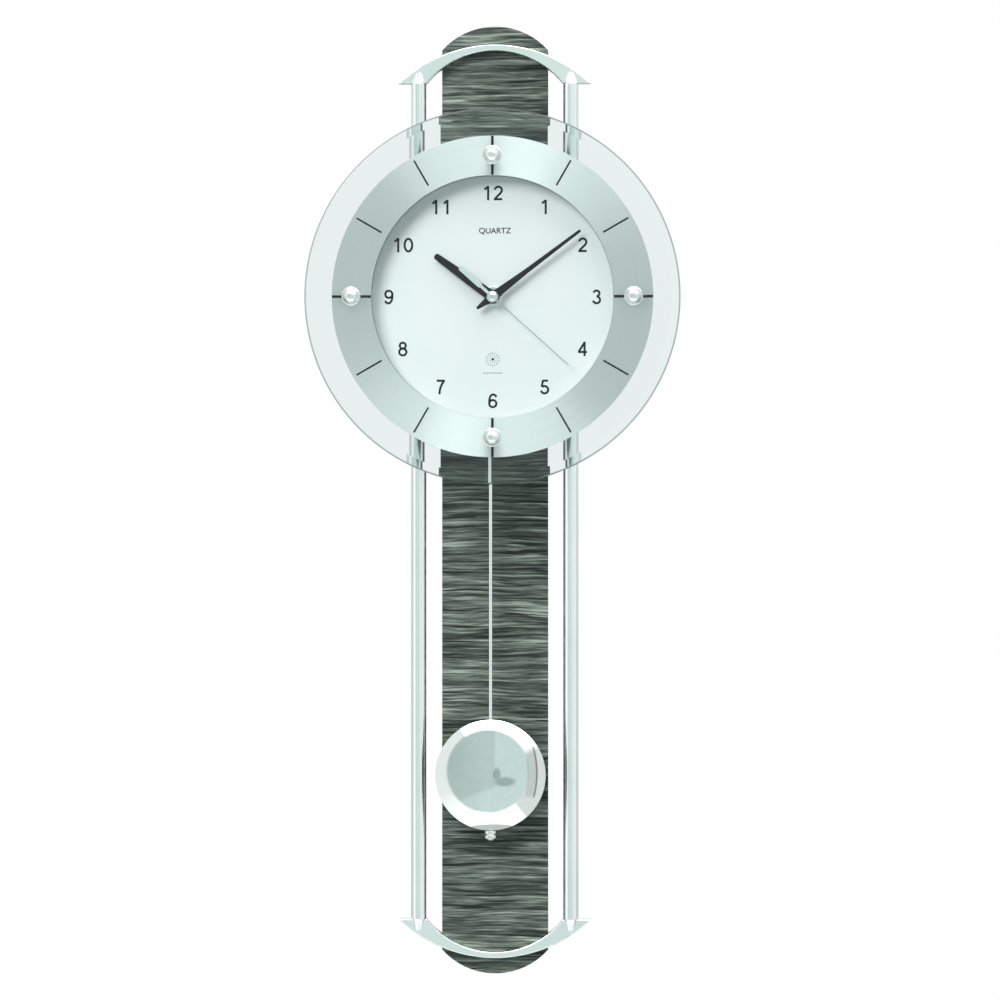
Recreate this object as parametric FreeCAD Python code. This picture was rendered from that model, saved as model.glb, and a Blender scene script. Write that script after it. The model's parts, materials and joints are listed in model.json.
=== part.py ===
"""Pendulum wall clock: a veneered back board, two tube columns between two arched yokes, a glass
covered dial standing off the board on four posts, a two-motor quartz movement and a pendulum.

Millimetres, +Z up, the clock faces -Y and the wall is the plane Y = 0. The origin is the centre
of the hanger's keyhole on the wall plane. Depth means the distance out from the wall, so a point
at depth d has Y = -d. Heights inside the movement are measured from the centre arbor.
"""

import FreeCAD
import Part

import math
import os

# ---- overall sizes -------------------------------------------------------------------------
board_height = 680.0
board_width = 76.0
board_end_radius = 51.0
glass_diameter = 264.5
top_above_hanger = 50.0
dial_below_top = 196.8
bob_above_bottom = 143.7

# ---- back board and what hangs it ----------------------------------------------------------
wall_gap = 2.0
core_thickness = 9.4
veneer_thickness = 0.6
hanger_width = 30.0
hanger_below = 11.0
hanger_above = 17.0
keyhole_radius = 4.5
keyhole_slot_radius = 2.2
keyhole_rise = 9.0
pocket_margin = 2.5
pocket_depth = 7.0
hanger_screw_inset = 4.5
bumper_radius = 6.0
bumper_inset_x = 12.0
bumper_above_bottom = 30.0

# ---- yokes and columns ---------------------------------------------------------------------
column_radius = 5.5
column_wall = 1.0
column_gap = 11.0
column_end_inset = 40.7
columns_below_middle = 1.0
spigot_length = 12.0
spigot_clearance = 0.05
yoke_thickness = 9.0
yoke_face_ahead_of_axis = 2.5
yoke_tip_overhang = 14.2
yoke_inner_inset = 5.8
yoke_outer_rise = 27.8
yoke_inner_rise = 23.5
yoke_edge_fillet = 0.8
cone_height = 17.0
yoke_screw_inset_x = 6.25
yoke_screw_reach = 6.0

# ---- dial, ring, glass ---------------------------------------------------------------------
floor_thickness = 2.5
recess_depth = 12.5
carrier_wall = 1.8
flange_thickness = 2.0
flange_short_of_ring = 1.3
rim_wall = 1.5
rim_depth = 8.0
boss_radius = 4.0
boss_length = 8.0
dial_radius = 85.4
dial_clearance = 0.3
dial_thickness = 0.5
ring_thickness = 1.0
ring_inside_glass = 19.15
glass_gap = 3.0
glass_thickness = 4.0
bevel_width = 6.3
bevel_drop = 1.5
glass_hole_radius = 2.5
stud_radius = 1.5
stud_clearance = 0.1
stud_in_boss = 7.0
stud_in_cap = 3.0
spacer_radius = 3.5
washer_radius = 5.6
washer_thickness = 0.4
cap_radius = 6.6
cap_height = 5.5
cap_land = 0.8

# ---- posts between the board and the dial carrier ------------------------------------------
post_radius = 4.0
post_inset_x = 6.25
post_height_from_axis = 72.0

# ---- screws --------------------------------------------------------------------------------
screw_radius = 1.5
screw_head_radius = 2.9
screw_head_height = 1.5
screw_recess_depth = 0.8
screw_recess_width = 0.6
screw_recess_length = 3.2
screw_in_post = 12.0
pad_screw_length = 8.0

# ---- movement case -------------------------------------------------------------------------
case_width = 58.0
case_above_axis = 64.0
case_below_axis = 46.0
case_depth = 22.0
case_wall = 1.6
case_split = 10.0
case_corner_radius = 4.0
case_screw_inset = 4.2
case_screw_radius = 1.0
case_screw_head = 1.9
case_boss_radius = 2.9
bearing_boss_radius = 1.6
bearing_boss_height = 0.8
bearing_depth = 0.8
bearing_clearance = 0.05
arbor_radius = 0.5
arbor_end_play = 0.15

# ---- battery -------------------------------------------------------------------------------
battery_radius = 7.25
battery_length = 49.2
battery_tip_radius = 2.75
battery_tip_length = 1.3
battery_bay_gap = 0.4
battery_sunk = 0.8
bay_wall = 1.2
bay_length = 52.8
bay_side_clearance = 0.2
contact_thickness = 0.3

# ---- motion work: nested arbor and pipes ---------------------------------------------------
second_arbor_radius = 0.75
minute_pipe_radius = 1.65
hour_pipe_radius = 2.6
pipe_clearance = 0.1
bushing_radius = 4.0
bushing_above_dial = 2.6
nut_radius = 6.9
nut_thickness = 2.0

# ---- gear trains ---------------------------------------------------------------------------
fine_module = 0.3
motion_module = 0.4
wheel_thickness = 1.0
pinion_length = 1.8
second_wheel_teeth = 60
second_relay_pinion_teeth = 12
second_relay_wheel_teeth = 48
rotor_pinion_teeth = 8
minute_wheel_teeth = 64
minute_relay_pinion_teeth = 8
minute_relay_wheel_teeth = 60
minute_pinion_teeth = 15
motion_wheel_teeth = 45
motion_pinion_teeth = 12
hour_wheel_teeth = 48
second_relay_direction = 20.0
second_rotor_direction = 60.0
minute_relay_direction = 160.0
minute_rotor_direction = 120.0
motion_direction = 270.0
second_layer = 3.4
second_relay_layer = 5.4
second_magnet_layer = 8.0
minute_magnet_layer = 3.5
minute_relay_layer = 8.2
minute_layer = 11.0
motion_layer = 13.3
hour_layer = 16.5
magnet_radius = 3.0
magnet_length = 3.0
tooth_share = 0.36
wheel_addendum = 0.8
tooth_dedendum = 1.15

# ---- motors and electronics ----------------------------------------------------------------
stator_thickness = 1.0
stator_width = 9.0
stator_below_rotor = 5.0
stator_height = 31.0
stator_hole_clearance = 0.6
coil_start = 11.0
coil_length = 14.0
coil_radius = 3.2
stator_core_half_width = 2.0
stator_pillar_radius = 1.2
stator_pillar_x = 3.2
stator_pillar_above_rotor = 8.5
circuit_width = 48.0
circuit_bottom = 40.0
circuit_height = 16.0
circuit_layer = 11.0
circuit_thickness = 1.0
circuit_pillar_radius = 1.6
circuit_pillar_x = 21.0
circuit_pillar_below_edge = 2.5
switch_width = 5.0
switch_gap = 0.2
antenna_radius = 3.0
antenna_winding_radius = 3.8
antenna_length = 41.0
antenna_winding_length = 24.0
antenna_height = 56.5
antenna_layer = 16.0
antenna_saddle_x = 16.5
antenna_saddle_width = 3.0
antenna_saddle_height = 8.0
button_radius = 2.0
button_clearance = 0.1
button_length = 6.0
button_proud = 1.4
button_travel = 0.8
button_spread = 16.0
button_height = 48.0
button_flange_radius = 2.8
button_flange_thickness = 0.8

# ---- hands ---------------------------------------------------------------------------------
hour_angle = 305.7
minute_angle = 53.0
second_angle = 132.0
hour_hand_length = 50.2
minute_hand_length = 77.5
minute_tail_length = 13.9
second_hand_length = 72.2
second_tail_length = 31.0
second_paddle_start = 11.6
hand_thickness = 0.6
second_hand_thickness = 0.4
hour_hand_above_dial = 3.2
minute_hand_above_hour = 2.4
second_hand_above_minute = 2.4
hour_hub_radius = 4.9
minute_hub_radius = 4.7
second_cap_radius = 4.05
second_cap_height = 3.6

# ---- pendulum ------------------------------------------------------------------------------
pendulum_offset = -2.7
pivot_above_axis = 52.0
pivot_pin_radius = 1.0
pivot_clearance = 0.06
pivot_head_radius = 2.0
pivot_head_thickness = 1.0
pivot_boss_radius = 3.0
lever_width = 8.0
lever_thickness = 2.5
lever_hub_radius = 4.5
lever_length = 43.0
lever_to_case = 1.0
lever_to_rod = 2.0
drive_magnet_height = 26.0
drive_magnet_radius = 3.2
drive_coil_radius = 7.5
drive_coil_bore = 3.0
drive_coil_thickness = 4.0
hook_radius = 1.2
hook_head_radius = 2.0
hook_head_thickness = 0.6
hanger_eye_clearance = 0.1
eye_plate_width = 7.0
eye_plate_thickness = 0.8
eye_plate_drop = 9.0
rod_radius = 1.25
rod_behind_columns = 4.5
rod_end_above_nut_foot = 3.0
bob_radius = 39.4
bob_dome_height = 11.0
bob_skin = 0.8
bob_lip = 1.5
bob_back_thickness = 1.0
guide_half_width = 3.2
guide_length = 64.0
guide_clearance = 0.07
nut_collar_radius = 4.35
nut_neck_radius = 3.1
nut_foot_radius = 2.8
nut_height = 7.0
collar_height = 2.4
neck_height = 0.8

# ---- places worked out from the sizes above ------------------------------------------------
board_top = top_above_hanger
board_bottom = board_top - board_height
board_middle = (board_top + board_bottom) / 2
core_front = wall_gap + core_thickness
board_front = core_front + veneer_thickness
yoke_front = board_front + yoke_thickness
column_depth = yoke_front - yoke_face_ahead_of_axis
column_x = board_width / 2 + column_gap + column_radius
columns_middle = board_middle - columns_below_middle
column_top = board_top - column_end_inset - columns_below_middle
rod_depth = column_depth + column_radius + rod_behind_columns
lever_back = rod_depth + lever_to_rod
lever_front = lever_back + lever_thickness
case_back = lever_front + lever_to_case
case_front = case_back + case_depth
floor_front = case_front + floor_thickness
dial_front = floor_front + dial_thickness
flange_front = floor_front + recess_depth
ring_front = flange_front + ring_thickness
glass_back = ring_front + glass_gap
glass_front = glass_back + glass_thickness
cap_back = glass_front + washer_thickness
axis_z = board_top - dial_below_top
ring_radius = glass_diameter / 2 - ring_inside_glass
stud_circle = (ring_radius + dial_radius) / 2
post_x = board_width / 2 - post_inset_x
bob_z = board_bottom + bob_above_bottom
pivot_z = axis_z + pivot_above_axis
hook_z = pivot_z - lever_length + hook_head_radius + 1.0
nut_top = bob_z - bob_radius - 0.3
hour_hand_back = dial_front + hour_hand_above_dial
minute_hand_back = hour_hand_back + minute_hand_above_hour
second_hand_back = minute_hand_back + second_hand_above_minute
relay_distance = fine_module * (second_wheel_teeth + second_relay_pinion_teeth) / 2
second_rotor_distance = fine_module * (second_relay_wheel_teeth + rotor_pinion_teeth) / 2
minute_relay_distance = fine_module * (minute_wheel_teeth + minute_relay_pinion_teeth) / 2
minute_rotor_distance = fine_module * (minute_relay_wheel_teeth + rotor_pinion_teeth) / 2
motion_distance = motion_module * (minute_pinion_teeth + motion_wheel_teeth) / 2
battery_z = axis_z - case_below_axis + case_wall + bay_wall + battery_bay_gap + battery_radius
battery_depth = case_back + battery_sunk + battery_radius
out_of_wall = FreeCAD.Vector(0, -1, 0)
up = FreeCAD.Vector(0, 0, 1)


# ---- shape helpers -------------------------------------------------------------------------
def at(x, depth, z):
    """A point from its x, its depth out from the wall and its height."""
    return FreeCAD.Vector(x, -depth, z)


def disc(x, z, back, front, radius):
    """A round bar that runs out from the wall, from depth back to depth front."""
    return Part.makeCylinder(radius, front - back, at(x, back, z), out_of_wall)


def tube(x, z, back, front, outer, inner):
    return disc(x, z, back, front, outer).cut(disc(x, z, back - 1, front + 1, inner))


def cone(x, z, back, front, back_radius, front_radius):
    return Part.makeCone(back_radius, front_radius, front - back, at(x, back, z), out_of_wall)


def upright(x, depth, bottom, top, radius):
    """A round bar that stands along Z."""
    return Part.makeCylinder(radius, top - bottom, at(x, depth, bottom), up)


def crossbar(left, right, depth, z, radius):
    """A round bar that lies along X."""
    return Part.makeCylinder(radius, right - left, at(left, depth, z), FreeCAD.Vector(1, 0, 0))


def block(left, right, back, front, bottom, top):
    return Part.makeBox(right - left, front - back, top - bottom, at(left, front, bottom))


def plate(points, back, front):
    """A flat plate with straight edges through (x, z) points."""
    corners = [at(x, back, z) for x, z in points]
    face = Part.Face(Part.makePolygon(corners + corners[:1]))
    return face.extrude(out_of_wall * (front - back))


def outline_plate(edges, back, front):
    """A flat plate from edges drawn at depth back."""
    face = Part.Face(Part.Wire([e.toShape() for e in edges]))
    return face.extrude(out_of_wall * (front - back))


def arc(first, middle, last, depth):
    return Part.Arc(*[at(x, depth, z) for x, z in (first, middle, last)])


def line(first, last, depth):
    return Part.LineSegment(at(first[0], depth, first[1]), at(last[0], depth, last[1]))


def turned(x, z, profile):
    """A solid turned about an axis out of the wall at (x, z), from (radius, depth) points."""
    corners = [at(x + radius, depth, z) for radius, depth in profile]
    face = Part.Face(Part.makePolygon(corners + corners[:1]))
    return face.revolve(at(x, 0, z), out_of_wall, 360)


def upright_turned(x, depth, profile):
    """A solid turned about a vertical axis, from (radius, height) points."""
    corners = [at(x + radius, depth, z) for radius, z in profile]
    face = Part.Face(Part.makePolygon(corners + corners[:1]))
    return face.revolve(at(x, depth, 0), up, 360)


def fused(first, *others):
    return first.multiFuse(list(others)).removeSplitter()


def ahead(shape, angle):
    """Turns a shape drawn pointing up clockwise about the centre arbor, as a dial is read."""
    return shape.rotated(at(0, 0, axis_z), FreeCAD.Vector(0, 1, 0), angle)


def round_plate_box(left, right, back, front, bottom, top, radius):
    """A box with its four edges out of the wall rounded."""
    box = block(left, right, back, front, bottom, top)
    edges = [e for e in box.Edges if abs(e.tangentAt(e.FirstParameter).y) > 0.99]
    return box.makeFillet(radius, edges)


def export(name, shape):
    shape.exportStep(os.path.join("parts", name + ".step"))


def export_group(name, shapes):
    export(name, Part.makeCompound(shapes))


def crossed(screw, x, z, face_depth, inwards):
    """Cuts a cross recess into a screw head whose face is at face_depth."""
    near, far = sorted((face_depth - inwards * 0.1, face_depth + inwards * screw_recess_depth))
    for half_x, half_z in (
        (screw_recess_length / 2, screw_recess_width / 2),
        (screw_recess_width / 2, screw_recess_length / 2),
    ):
        screw = screw.cut(block(x - half_x, x + half_x, near, far, z - half_z, z + half_z))
    return screw


def sunk_screw(x, z, head_depth, tip_depth):
    """A countersunk screw. Its head's face is at head_depth, and it points to tip_depth."""
    inwards = 1 if tip_depth > head_depth else -1
    taper_end = head_depth + inwards * screw_head_height
    if inwards > 0:
        head = cone(x, z, head_depth, taper_end, screw_head_radius, screw_radius)
        shank = disc(x, z, taper_end, tip_depth, screw_radius)
    else:
        head = cone(x, z, taper_end, head_depth, screw_radius, screw_head_radius)
        shank = disc(x, z, tip_depth, taper_end, screw_radius)
    return crossed(fused(head, shank), x, z, head_depth, inwards)


def sink(x, z, head_depth, tip_depth):
    """The hole that a countersunk screw leaves, a little past both of its ends."""
    inwards = 1 if tip_depth > head_depth else -1
    taper_end = head_depth + inwards * screw_head_height
    low, high = sorted((head_depth - inwards, tip_depth))
    hole = disc(x, z, low, high, screw_radius)
    if inwards > 0:
        head = cone(x, z, head_depth, taper_end, screw_head_radius, screw_radius)
    else:
        head = cone(x, z, taper_end, head_depth, screw_radius, screw_head_radius)
    return hole.fuse(head)


# ---- places that several pieces share ------------------------------------------------------
post_places = [
    (side * post_x, axis_z + rise * post_height_from_axis) for side in (-1, 1) for rise in (-1, 1)
]
stud_places = [
    (stud_circle * math.sin(math.radians(a)), axis_z + stud_circle * math.cos(math.radians(a)))
    for a in (0, 90, 180, 270)
]
hanger_screw_places = [(side * (hanger_width / 2 - hanger_screw_inset), 3.0) for side in (-1, 1)]


def polar(x, z, distance, direction):
    a = math.radians(direction)
    return x + distance * math.cos(a), z + distance * math.sin(a)


centre = (0.0, axis_z)
second_relay = polar(*centre, relay_distance, second_relay_direction)
second_rotor = polar(*second_relay, second_rotor_distance, second_rotor_direction)
minute_relay = polar(*centre, minute_relay_distance, minute_relay_direction)
minute_rotor = polar(*minute_relay, minute_rotor_distance, minute_rotor_direction)
motion = polar(*centre, motion_distance, motion_direction)

# A yoke screw enters the arch where it crosses the board's edge zone.
yoke_half_span = column_x + yoke_tip_overhang
yoke_half_mouth = column_x - yoke_inner_inset
yoke_screw_x = board_width / 2 - yoke_screw_inset_x


def arch_height(half_chord, rise, x):
    """How far an arc of that half chord and rise stands above its chord at x."""
    radius = (half_chord**2 + rise**2) / (2 * rise)
    return math.sqrt(radius**2 - x**2) - (radius - rise)


yoke_screw_rise = (
    arch_height(yoke_half_span, yoke_outer_rise, yoke_screw_x)
    + arch_height(yoke_half_mouth, yoke_inner_rise, yoke_screw_x)
) / 2
yoke_screw_places = [
    (side * yoke_screw_x, z)
    for side in (-1, 1)
    for z in (
        column_top + yoke_screw_rise,
        2 * columns_middle - column_top - yoke_screw_rise,
    )
]


# ---- back board, veneer, hanger and bumpers ------------------------------------------------
def board_layer(back, front):
    """A slice of the board: straight sides and arched ends."""
    half = board_width / 2
    end_rise = board_end_radius - math.sqrt(board_end_radius**2 - half**2)
    shoulder_top = board_top - end_rise
    shoulder_bottom = board_bottom + end_rise
    edges = [
        line((-half, shoulder_bottom), (-half, shoulder_top), back),
        arc((-half, shoulder_top), (0, board_top), (half, shoulder_top), back),
        line((half, shoulder_top), (half, shoulder_bottom), back),
        arc((half, shoulder_bottom), (0, board_bottom), (-half, shoulder_bottom), back),
    ]
    return outline_plate(edges, back, front)


def make_board():
    core = board_layer(wall_gap, core_front)
    veneer = board_layer(core_front, board_front)
    pocket_half = keyhole_radius + pocket_margin
    pocket = block(
        -pocket_half,
        pocket_half,
        wall_gap - 1,
        wall_gap + pocket_depth,
        -pocket_half,
        keyhole_rise + keyhole_slot_radius + pocket_margin,
    )
    cuts = [pocket]
    cuts += [sink(x, z, 0, wall_gap + pad_screw_length) for x, z in hanger_screw_places]
    cuts += [sink(x, z, wall_gap, board_front + 1) for x, z in post_places + yoke_screw_places]
    export("back_board", core.cut(Part.makeCompound(cuts)))
    through = [
        disc(x, z, core_front - 1, board_front + 1, screw_radius)
        for x, z in post_places + yoke_screw_places
    ]
    export("veneer_facing", veneer.cut(Part.makeCompound(through)))


def make_hanger():
    half = hanger_width / 2
    body = round_plate_box(-half, half, 0, wall_gap, -hanger_below, hanger_above, 3.0)
    slot = block(
        -keyhole_slot_radius, keyhole_slot_radius, -1, wall_gap + 1, 0, keyhole_rise
    ).fuse(disc(0, keyhole_rise, -1, wall_gap + 1, keyhole_slot_radius))
    body = body.cut(slot).cut(disc(0, 0, -1, wall_gap + 1, keyhole_radius))
    for x, z in hanger_screw_places:
        body = body.cut(sink(x, z, 0, wall_gap + 1))
    export("hanger_plate", body)
    tip = wall_gap + pad_screw_length
    export_group("hanger_screws", [sunk_screw(x, z, 0, tip) for x, z in hanger_screw_places])


def make_bumpers():
    x = board_width / 2 - bumper_inset_x
    z = board_bottom + bumper_above_bottom
    export_group(
        "wall_bumpers", [disc(side * x, z, 0, wall_gap, bumper_radius) for side in (-1, 1)]
    )


# ---- yokes and columns ---------------------------------------------------------------------
def crescent(back, front, half_span, half_mouth):
    """The yoke's arched outline, drawn for the top yoke."""
    z = column_top
    edges = [
        arc((-half_span, z), (0, z + yoke_outer_rise), (half_span, z), back),
        line((half_span, z), (half_mouth, z), back),
        arc((half_mouth, z), (0, z + yoke_inner_rise), (-half_mouth, z), back),
        line((-half_mouth, z), (-half_span, z), back),
    ]
    return outline_plate(edges, back, front)


def make_yokes():
    plain = crescent(board_front, yoke_front, yoke_half_span, yoke_half_mouth)
    front_edges = [
        e
        for e in plain.Edges
        if all(abs(v.Point.y + yoke_front) < 1e-6 for v in e.Vertexes)
    ]
    body = plain.makeFillet(yoke_edge_fillet, front_edges)
    envelope = crescent(
        board_front, column_depth + column_radius + 1, yoke_half_span, yoke_half_mouth
    )
    spigot_radius = column_radius - column_wall - spigot_clearance
    additions = []
    for side in (-1, 1):
        foot = at(side * column_x, column_depth, column_top)
        tip = Part.makeCone(column_radius, 0, cone_height, foot, up)
        additions.append(tip.common(envelope))
        additions.append(
            upright(
                side * column_x, column_depth, column_top - spigot_length, column_top, spigot_radius
            )
        )
    body = fused(body, *additions)
    for x, z in yoke_screw_places:
        body = body.cut(
            disc(x, z, board_front - 1, board_front + yoke_screw_reach, screw_radius)
        )
    export("top_yoke", body)
    export("bottom_yoke", body.mirror(at(0, 0, columns_middle), up))
    tip_depth = board_front + yoke_screw_reach
    export_group(
        "yoke_screws", [sunk_screw(x, z, wall_gap, tip_depth) for x, z in yoke_screw_places]
    )


def make_columns():
    bottom = 2 * columns_middle - column_top
    for name, side in (("left_column", -1), ("right_column", 1)):
        outer = upright(side * column_x, column_depth, bottom, column_top, column_radius)
        inner = upright(
            side * column_x,
            column_depth,
            bottom - 1,
            column_top + 1,
            column_radius - column_wall,
        )
        export(name, outer.cut(inner))


# ---- dial carrier, ring, glass and their fixings -------------------------------------------
def make_carrier():
    flange_radius = ring_radius - flange_short_of_ring
    wall_radius = dial_radius + carrier_wall
    flange_back = flange_front - flange_thickness
    profile = [
        (bushing_radius, case_front),
        (wall_radius, case_front),
        (wall_radius, flange_back),
        (flange_radius - rim_wall, flange_back),
        (flange_radius - rim_wall, flange_front - rim_depth),
        (flange_radius, flange_front - rim_depth),
        (flange_radius, flange_front),
        (dial_radius, flange_front),
        (dial_radius, floor_front),
        (bushing_radius, floor_front),
    ]
    body = turned(*centre, profile)
    bosses = [
        disc(x, z, flange_back - boss_length, flange_back, boss_radius) for x, z in stud_places
    ]
    body = fused(body, *bosses)
    for x, z in stud_places:
        body = body.cut(disc(x, z, flange_front - stud_in_boss, flange_front + 1, stud_radius))
    for x, z in post_places:
        body = body.cut(sink(x, z, floor_front, case_front - 1))
    export("dial_carrier", body)


def make_posts():
    posts, rear_screws, front_screws = [], [], []
    for x, z in post_places:
        rear_tip = board_front + screw_in_post
        front_tip = case_front - screw_in_post
        post = disc(x, z, board_front, case_front, post_radius)
        post = post.cut(disc(x, z, board_front - 1, rear_tip, screw_radius))
        post = post.cut(disc(x, z, front_tip, case_front + 1, screw_radius))
        posts.append(post)
        rear_screws.append(sunk_screw(x, z, wall_gap, rear_tip))
        front_screws.append(sunk_screw(x, z, floor_front, front_tip))
    export_group("carrier_posts", posts)
    export_group("post_rear_screws", rear_screws)
    export_group("post_front_screws", front_screws)


def make_dial():
    hole = bushing_radius + pipe_clearance
    edge = dial_radius - dial_clearance
    export("dial_plate", tube(*centre, floor_front, dial_front, edge, hole))
    ring = tube(*centre, flange_front, ring_front, ring_radius, dial_radius)
    for x, z in stud_places:
        ring = ring.cut(
            disc(x, z, flange_front - 1, ring_front + 1, stud_radius + stud_clearance)
        )
    export("dial_ring", ring)


def make_glass():
    radius = glass_diameter / 2
    profile = [
        (0, glass_back),
        (radius, glass_back),
        (radius, glass_front - bevel_drop),
        (radius - bevel_width, glass_front),
        (0, glass_front),
    ]
    pane = turned(*centre, profile)
    for x, z in stud_places:
        pane = pane.cut(disc(x, z, glass_back - 1, glass_front + 1, glass_hole_radius))
    export("glass_pane", pane)
    studs, spacers, washers, caps = [], [], [], []
    bore = stud_radius + stud_clearance
    for x, z in stud_places:
        studs.append(disc(x, z, flange_front - stud_in_boss, cap_back + stud_in_cap, stud_radius))
        spacers.append(tube(x, z, ring_front, glass_back, spacer_radius, bore))
        washers.append(tube(x, z, glass_front, cap_back, washer_radius, bore))
        caps.append(make_cap(x, z))
    export_group("glass_studs", studs)
    export_group("glass_spacers", spacers)
    export_group("glass_washers", washers)
    export_group("glass_caps", caps)


def make_cap(x, z):
    """A domed cap nut: a short straight land under a spherical crown."""
    crown = cap_height - cap_land
    sphere_radius = (cap_radius**2 + crown**2) / (2 * crown)
    land_front = cap_back + cap_land
    land = disc(x, z, cap_back, land_front, cap_radius)
    ball = Part.makeSphere(sphere_radius, at(x, cap_back + cap_height - sphere_radius, z))
    dome = ball.common(disc(x, z, land_front, cap_back + cap_height + 1, cap_radius))
    body = fused(land, dome)
    return body.cut(disc(x, z, cap_back - 1, cap_back + stud_in_cap, stud_radius))


# ---- movement case -------------------------------------------------------------------------
case_bottom = axis_z - case_below_axis
case_top = axis_z + case_above_axis
case_half = case_width / 2
split_depth = case_back + case_split
case_corners = [
    (sx * (case_half - case_screw_inset), z)
    for sx in (-1, 1)
    for z in (case_top - case_screw_inset, axis_z - 20.5)
]
arbor_back = case_back + case_wall - bearing_depth + arbor_end_play
arbor_front = case_front - case_wall + bearing_depth - arbor_end_play
arbor_places = [second_relay, second_rotor, minute_relay, minute_rotor, motion]
button_places = [
    (pendulum_offset + side * button_spread, axis_z + button_height) for side in (-1, 1)
]
bay_bottom = battery_z - battery_radius - battery_bay_gap
bay_top = battery_z + battery_radius + battery_bay_gap
bay_front = battery_depth + battery_radius + battery_bay_gap
circuit_top = axis_z + circuit_bottom + circuit_height
antenna_depth = case_back + antenna_layer
antenna_z = axis_z + antenna_height


def stator_back(magnet_layer):
    return case_back + magnet_layer + (magnet_length - stator_thickness) / 2


def pillars():
    """Posts on the rear cover that carry the circuit board and the two stators."""
    start = case_back + case_wall - 0.5
    z = circuit_top - circuit_pillar_below_edge
    front = case_back + circuit_layer
    posts = [
        disc(side * circuit_pillar_x, z, start, front, circuit_pillar_radius) for side in (-1, 1)
    ]
    for rotor, layer in (
        (second_rotor, second_magnet_layer),
        (minute_rotor, minute_magnet_layer),
    ):
        x, z = rotor[0], rotor[1] + stator_pillar_above_rotor
        for side in (-1, 1):
            posts.append(
                disc(
                    x + side * stator_pillar_x,
                    z,
                    start,
                    stator_back(layer),
                    stator_pillar_radius,
                )
            )
    return posts


def saddles():
    """Two cradles on the front case that hold the antenna rod."""
    rod = crossbar(-case_half, case_half, antenna_depth, antenna_z, antenna_radius)
    half_width, half_height = antenna_saddle_width / 2, antenna_saddle_height / 2
    cradles = []
    for x in (-antenna_saddle_x, antenna_saddle_x):
        body = block(
            x - half_width,
            x + half_width,
            antenna_depth,
            case_front - case_wall + 0.5,
            antenna_z - half_height,
            antenna_z + half_height,
        )
        cradles.append(body.cut(rod))
    return cradles


def case_shell(back, front, closed_at_back):
    """Half of the movement case: a tray with rounded corners, open on its far side."""
    outer = round_plate_box(
        -case_half, case_half, back, front, case_bottom, case_top, case_corner_radius
    )
    inner_back = back + case_wall if closed_at_back else back - 1
    inner_front = front + 1 if closed_at_back else front - case_wall
    inner = round_plate_box(
        case_wall - case_half,
        case_half - case_wall,
        inner_back,
        inner_front,
        case_bottom + case_wall,
        case_top - case_wall,
        case_corner_radius - case_wall,
    )
    return outer.cut(inner)


def make_rear_case():
    shell = case_shell(case_back, split_depth, True)
    inner_face = case_back + case_wall
    bay_half = case_half - case_wall - bay_side_clearance
    bay = round_plate_box(
        -bay_half,
        bay_half,
        case_back + 0.5,
        bay_front + bay_wall,
        case_bottom + case_wall + bay_side_clearance,
        bay_top + bay_wall,
        case_corner_radius - case_wall,
    )
    boss_end = inner_face + bearing_boss_height
    bosses = [disc(x, z, inner_face - 0.5, boss_end, bearing_boss_radius) for x, z in arbor_places]
    bosses.append(disc(*centre, inner_face - 0.5, boss_end, bearing_boss_radius))
    bosses += [disc(x, z, inner_face - 0.5, split_depth, case_boss_radius) for x, z in case_corners]
    pivot_boss = disc(
        pendulum_offset, pivot_z, inner_face - 0.5, inner_face + 4.0, pivot_boss_radius
    )
    body = fused(shell, bay, pivot_boss, *bosses, *pillars())
    body = body.cut(
        block(-bay_length / 2, bay_length / 2, case_back - 1, bay_front, bay_bottom, bay_top)
    )
    holes = [
        disc(x, z, inner_face - bearing_depth, boss_end + 1, arbor_radius + bearing_clearance)
        for x, z in arbor_places
    ]
    holes.append(
        disc(
            *centre,
            inner_face - bearing_depth,
            boss_end + 1,
            second_arbor_radius + bearing_clearance,
        )
    )
    holes += [
        disc(x, z, case_back - 1, split_depth + 1, case_screw_radius) for x, z in case_corners
    ]
    holes += [
        disc(x, z, case_back - 1, inner_face + 1, button_radius + button_clearance)
        for x, z in button_places
    ]
    holes.append(disc(pendulum_offset, pivot_z, case_back - 1, inner_face + 3.0, pivot_pin_radius))
    export("movement_rear_case", body.cut(Part.makeCompound(holes)))


def make_front_case():
    shell = case_shell(split_depth, case_front, False)
    inner_face = case_front - case_wall
    boss_start = inner_face - bearing_boss_height
    bosses = [
        disc(x, z, boss_start, inner_face + 0.5, bearing_boss_radius) for x, z in arbor_places
    ]
    bosses += [disc(x, z, split_depth, inner_face + 0.5, case_boss_radius) for x, z in case_corners]
    body = fused(shell, *bosses, *saddles())
    holes = [
        disc(x, z, boss_start - 1, inner_face + bearing_depth, arbor_radius + bearing_clearance)
        for x, z in arbor_places
    ]
    holes += [
        disc(x, z, split_depth - 1, split_depth + 6, case_screw_radius) for x, z in case_corners
    ]
    holes.append(disc(*centre, inner_face - 1, case_front + 1, bushing_radius))
    export("movement_front_case", body.cut(Part.makeCompound(holes)))
    screws = []
    for x, z in case_corners:
        head = disc(x, z, case_back - 0.9, case_back, case_screw_head)
        shank = disc(x, z, case_back - 0.1, split_depth + 6, case_screw_radius)
        screws.append(fused(head, shank))
    export_group("case_screws", screws)


def make_bushing():
    front = dial_front + bushing_above_dial
    bore = hour_pipe_radius + pipe_clearance
    body = tube(*centre, case_front - case_wall, front, bushing_radius, bore)
    export("centre_bushing", body)
    nut = tube(*centre, dial_front, dial_front + nut_thickness, nut_radius, bushing_radius)
    for direction in (45, 225):
        x, z = polar(*centre, nut_radius, direction)
        nut = nut.cut(disc(x, z, dial_front - 1, dial_front + nut_thickness + 1, 0.9))
    export("dial_nut", nut)


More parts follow.
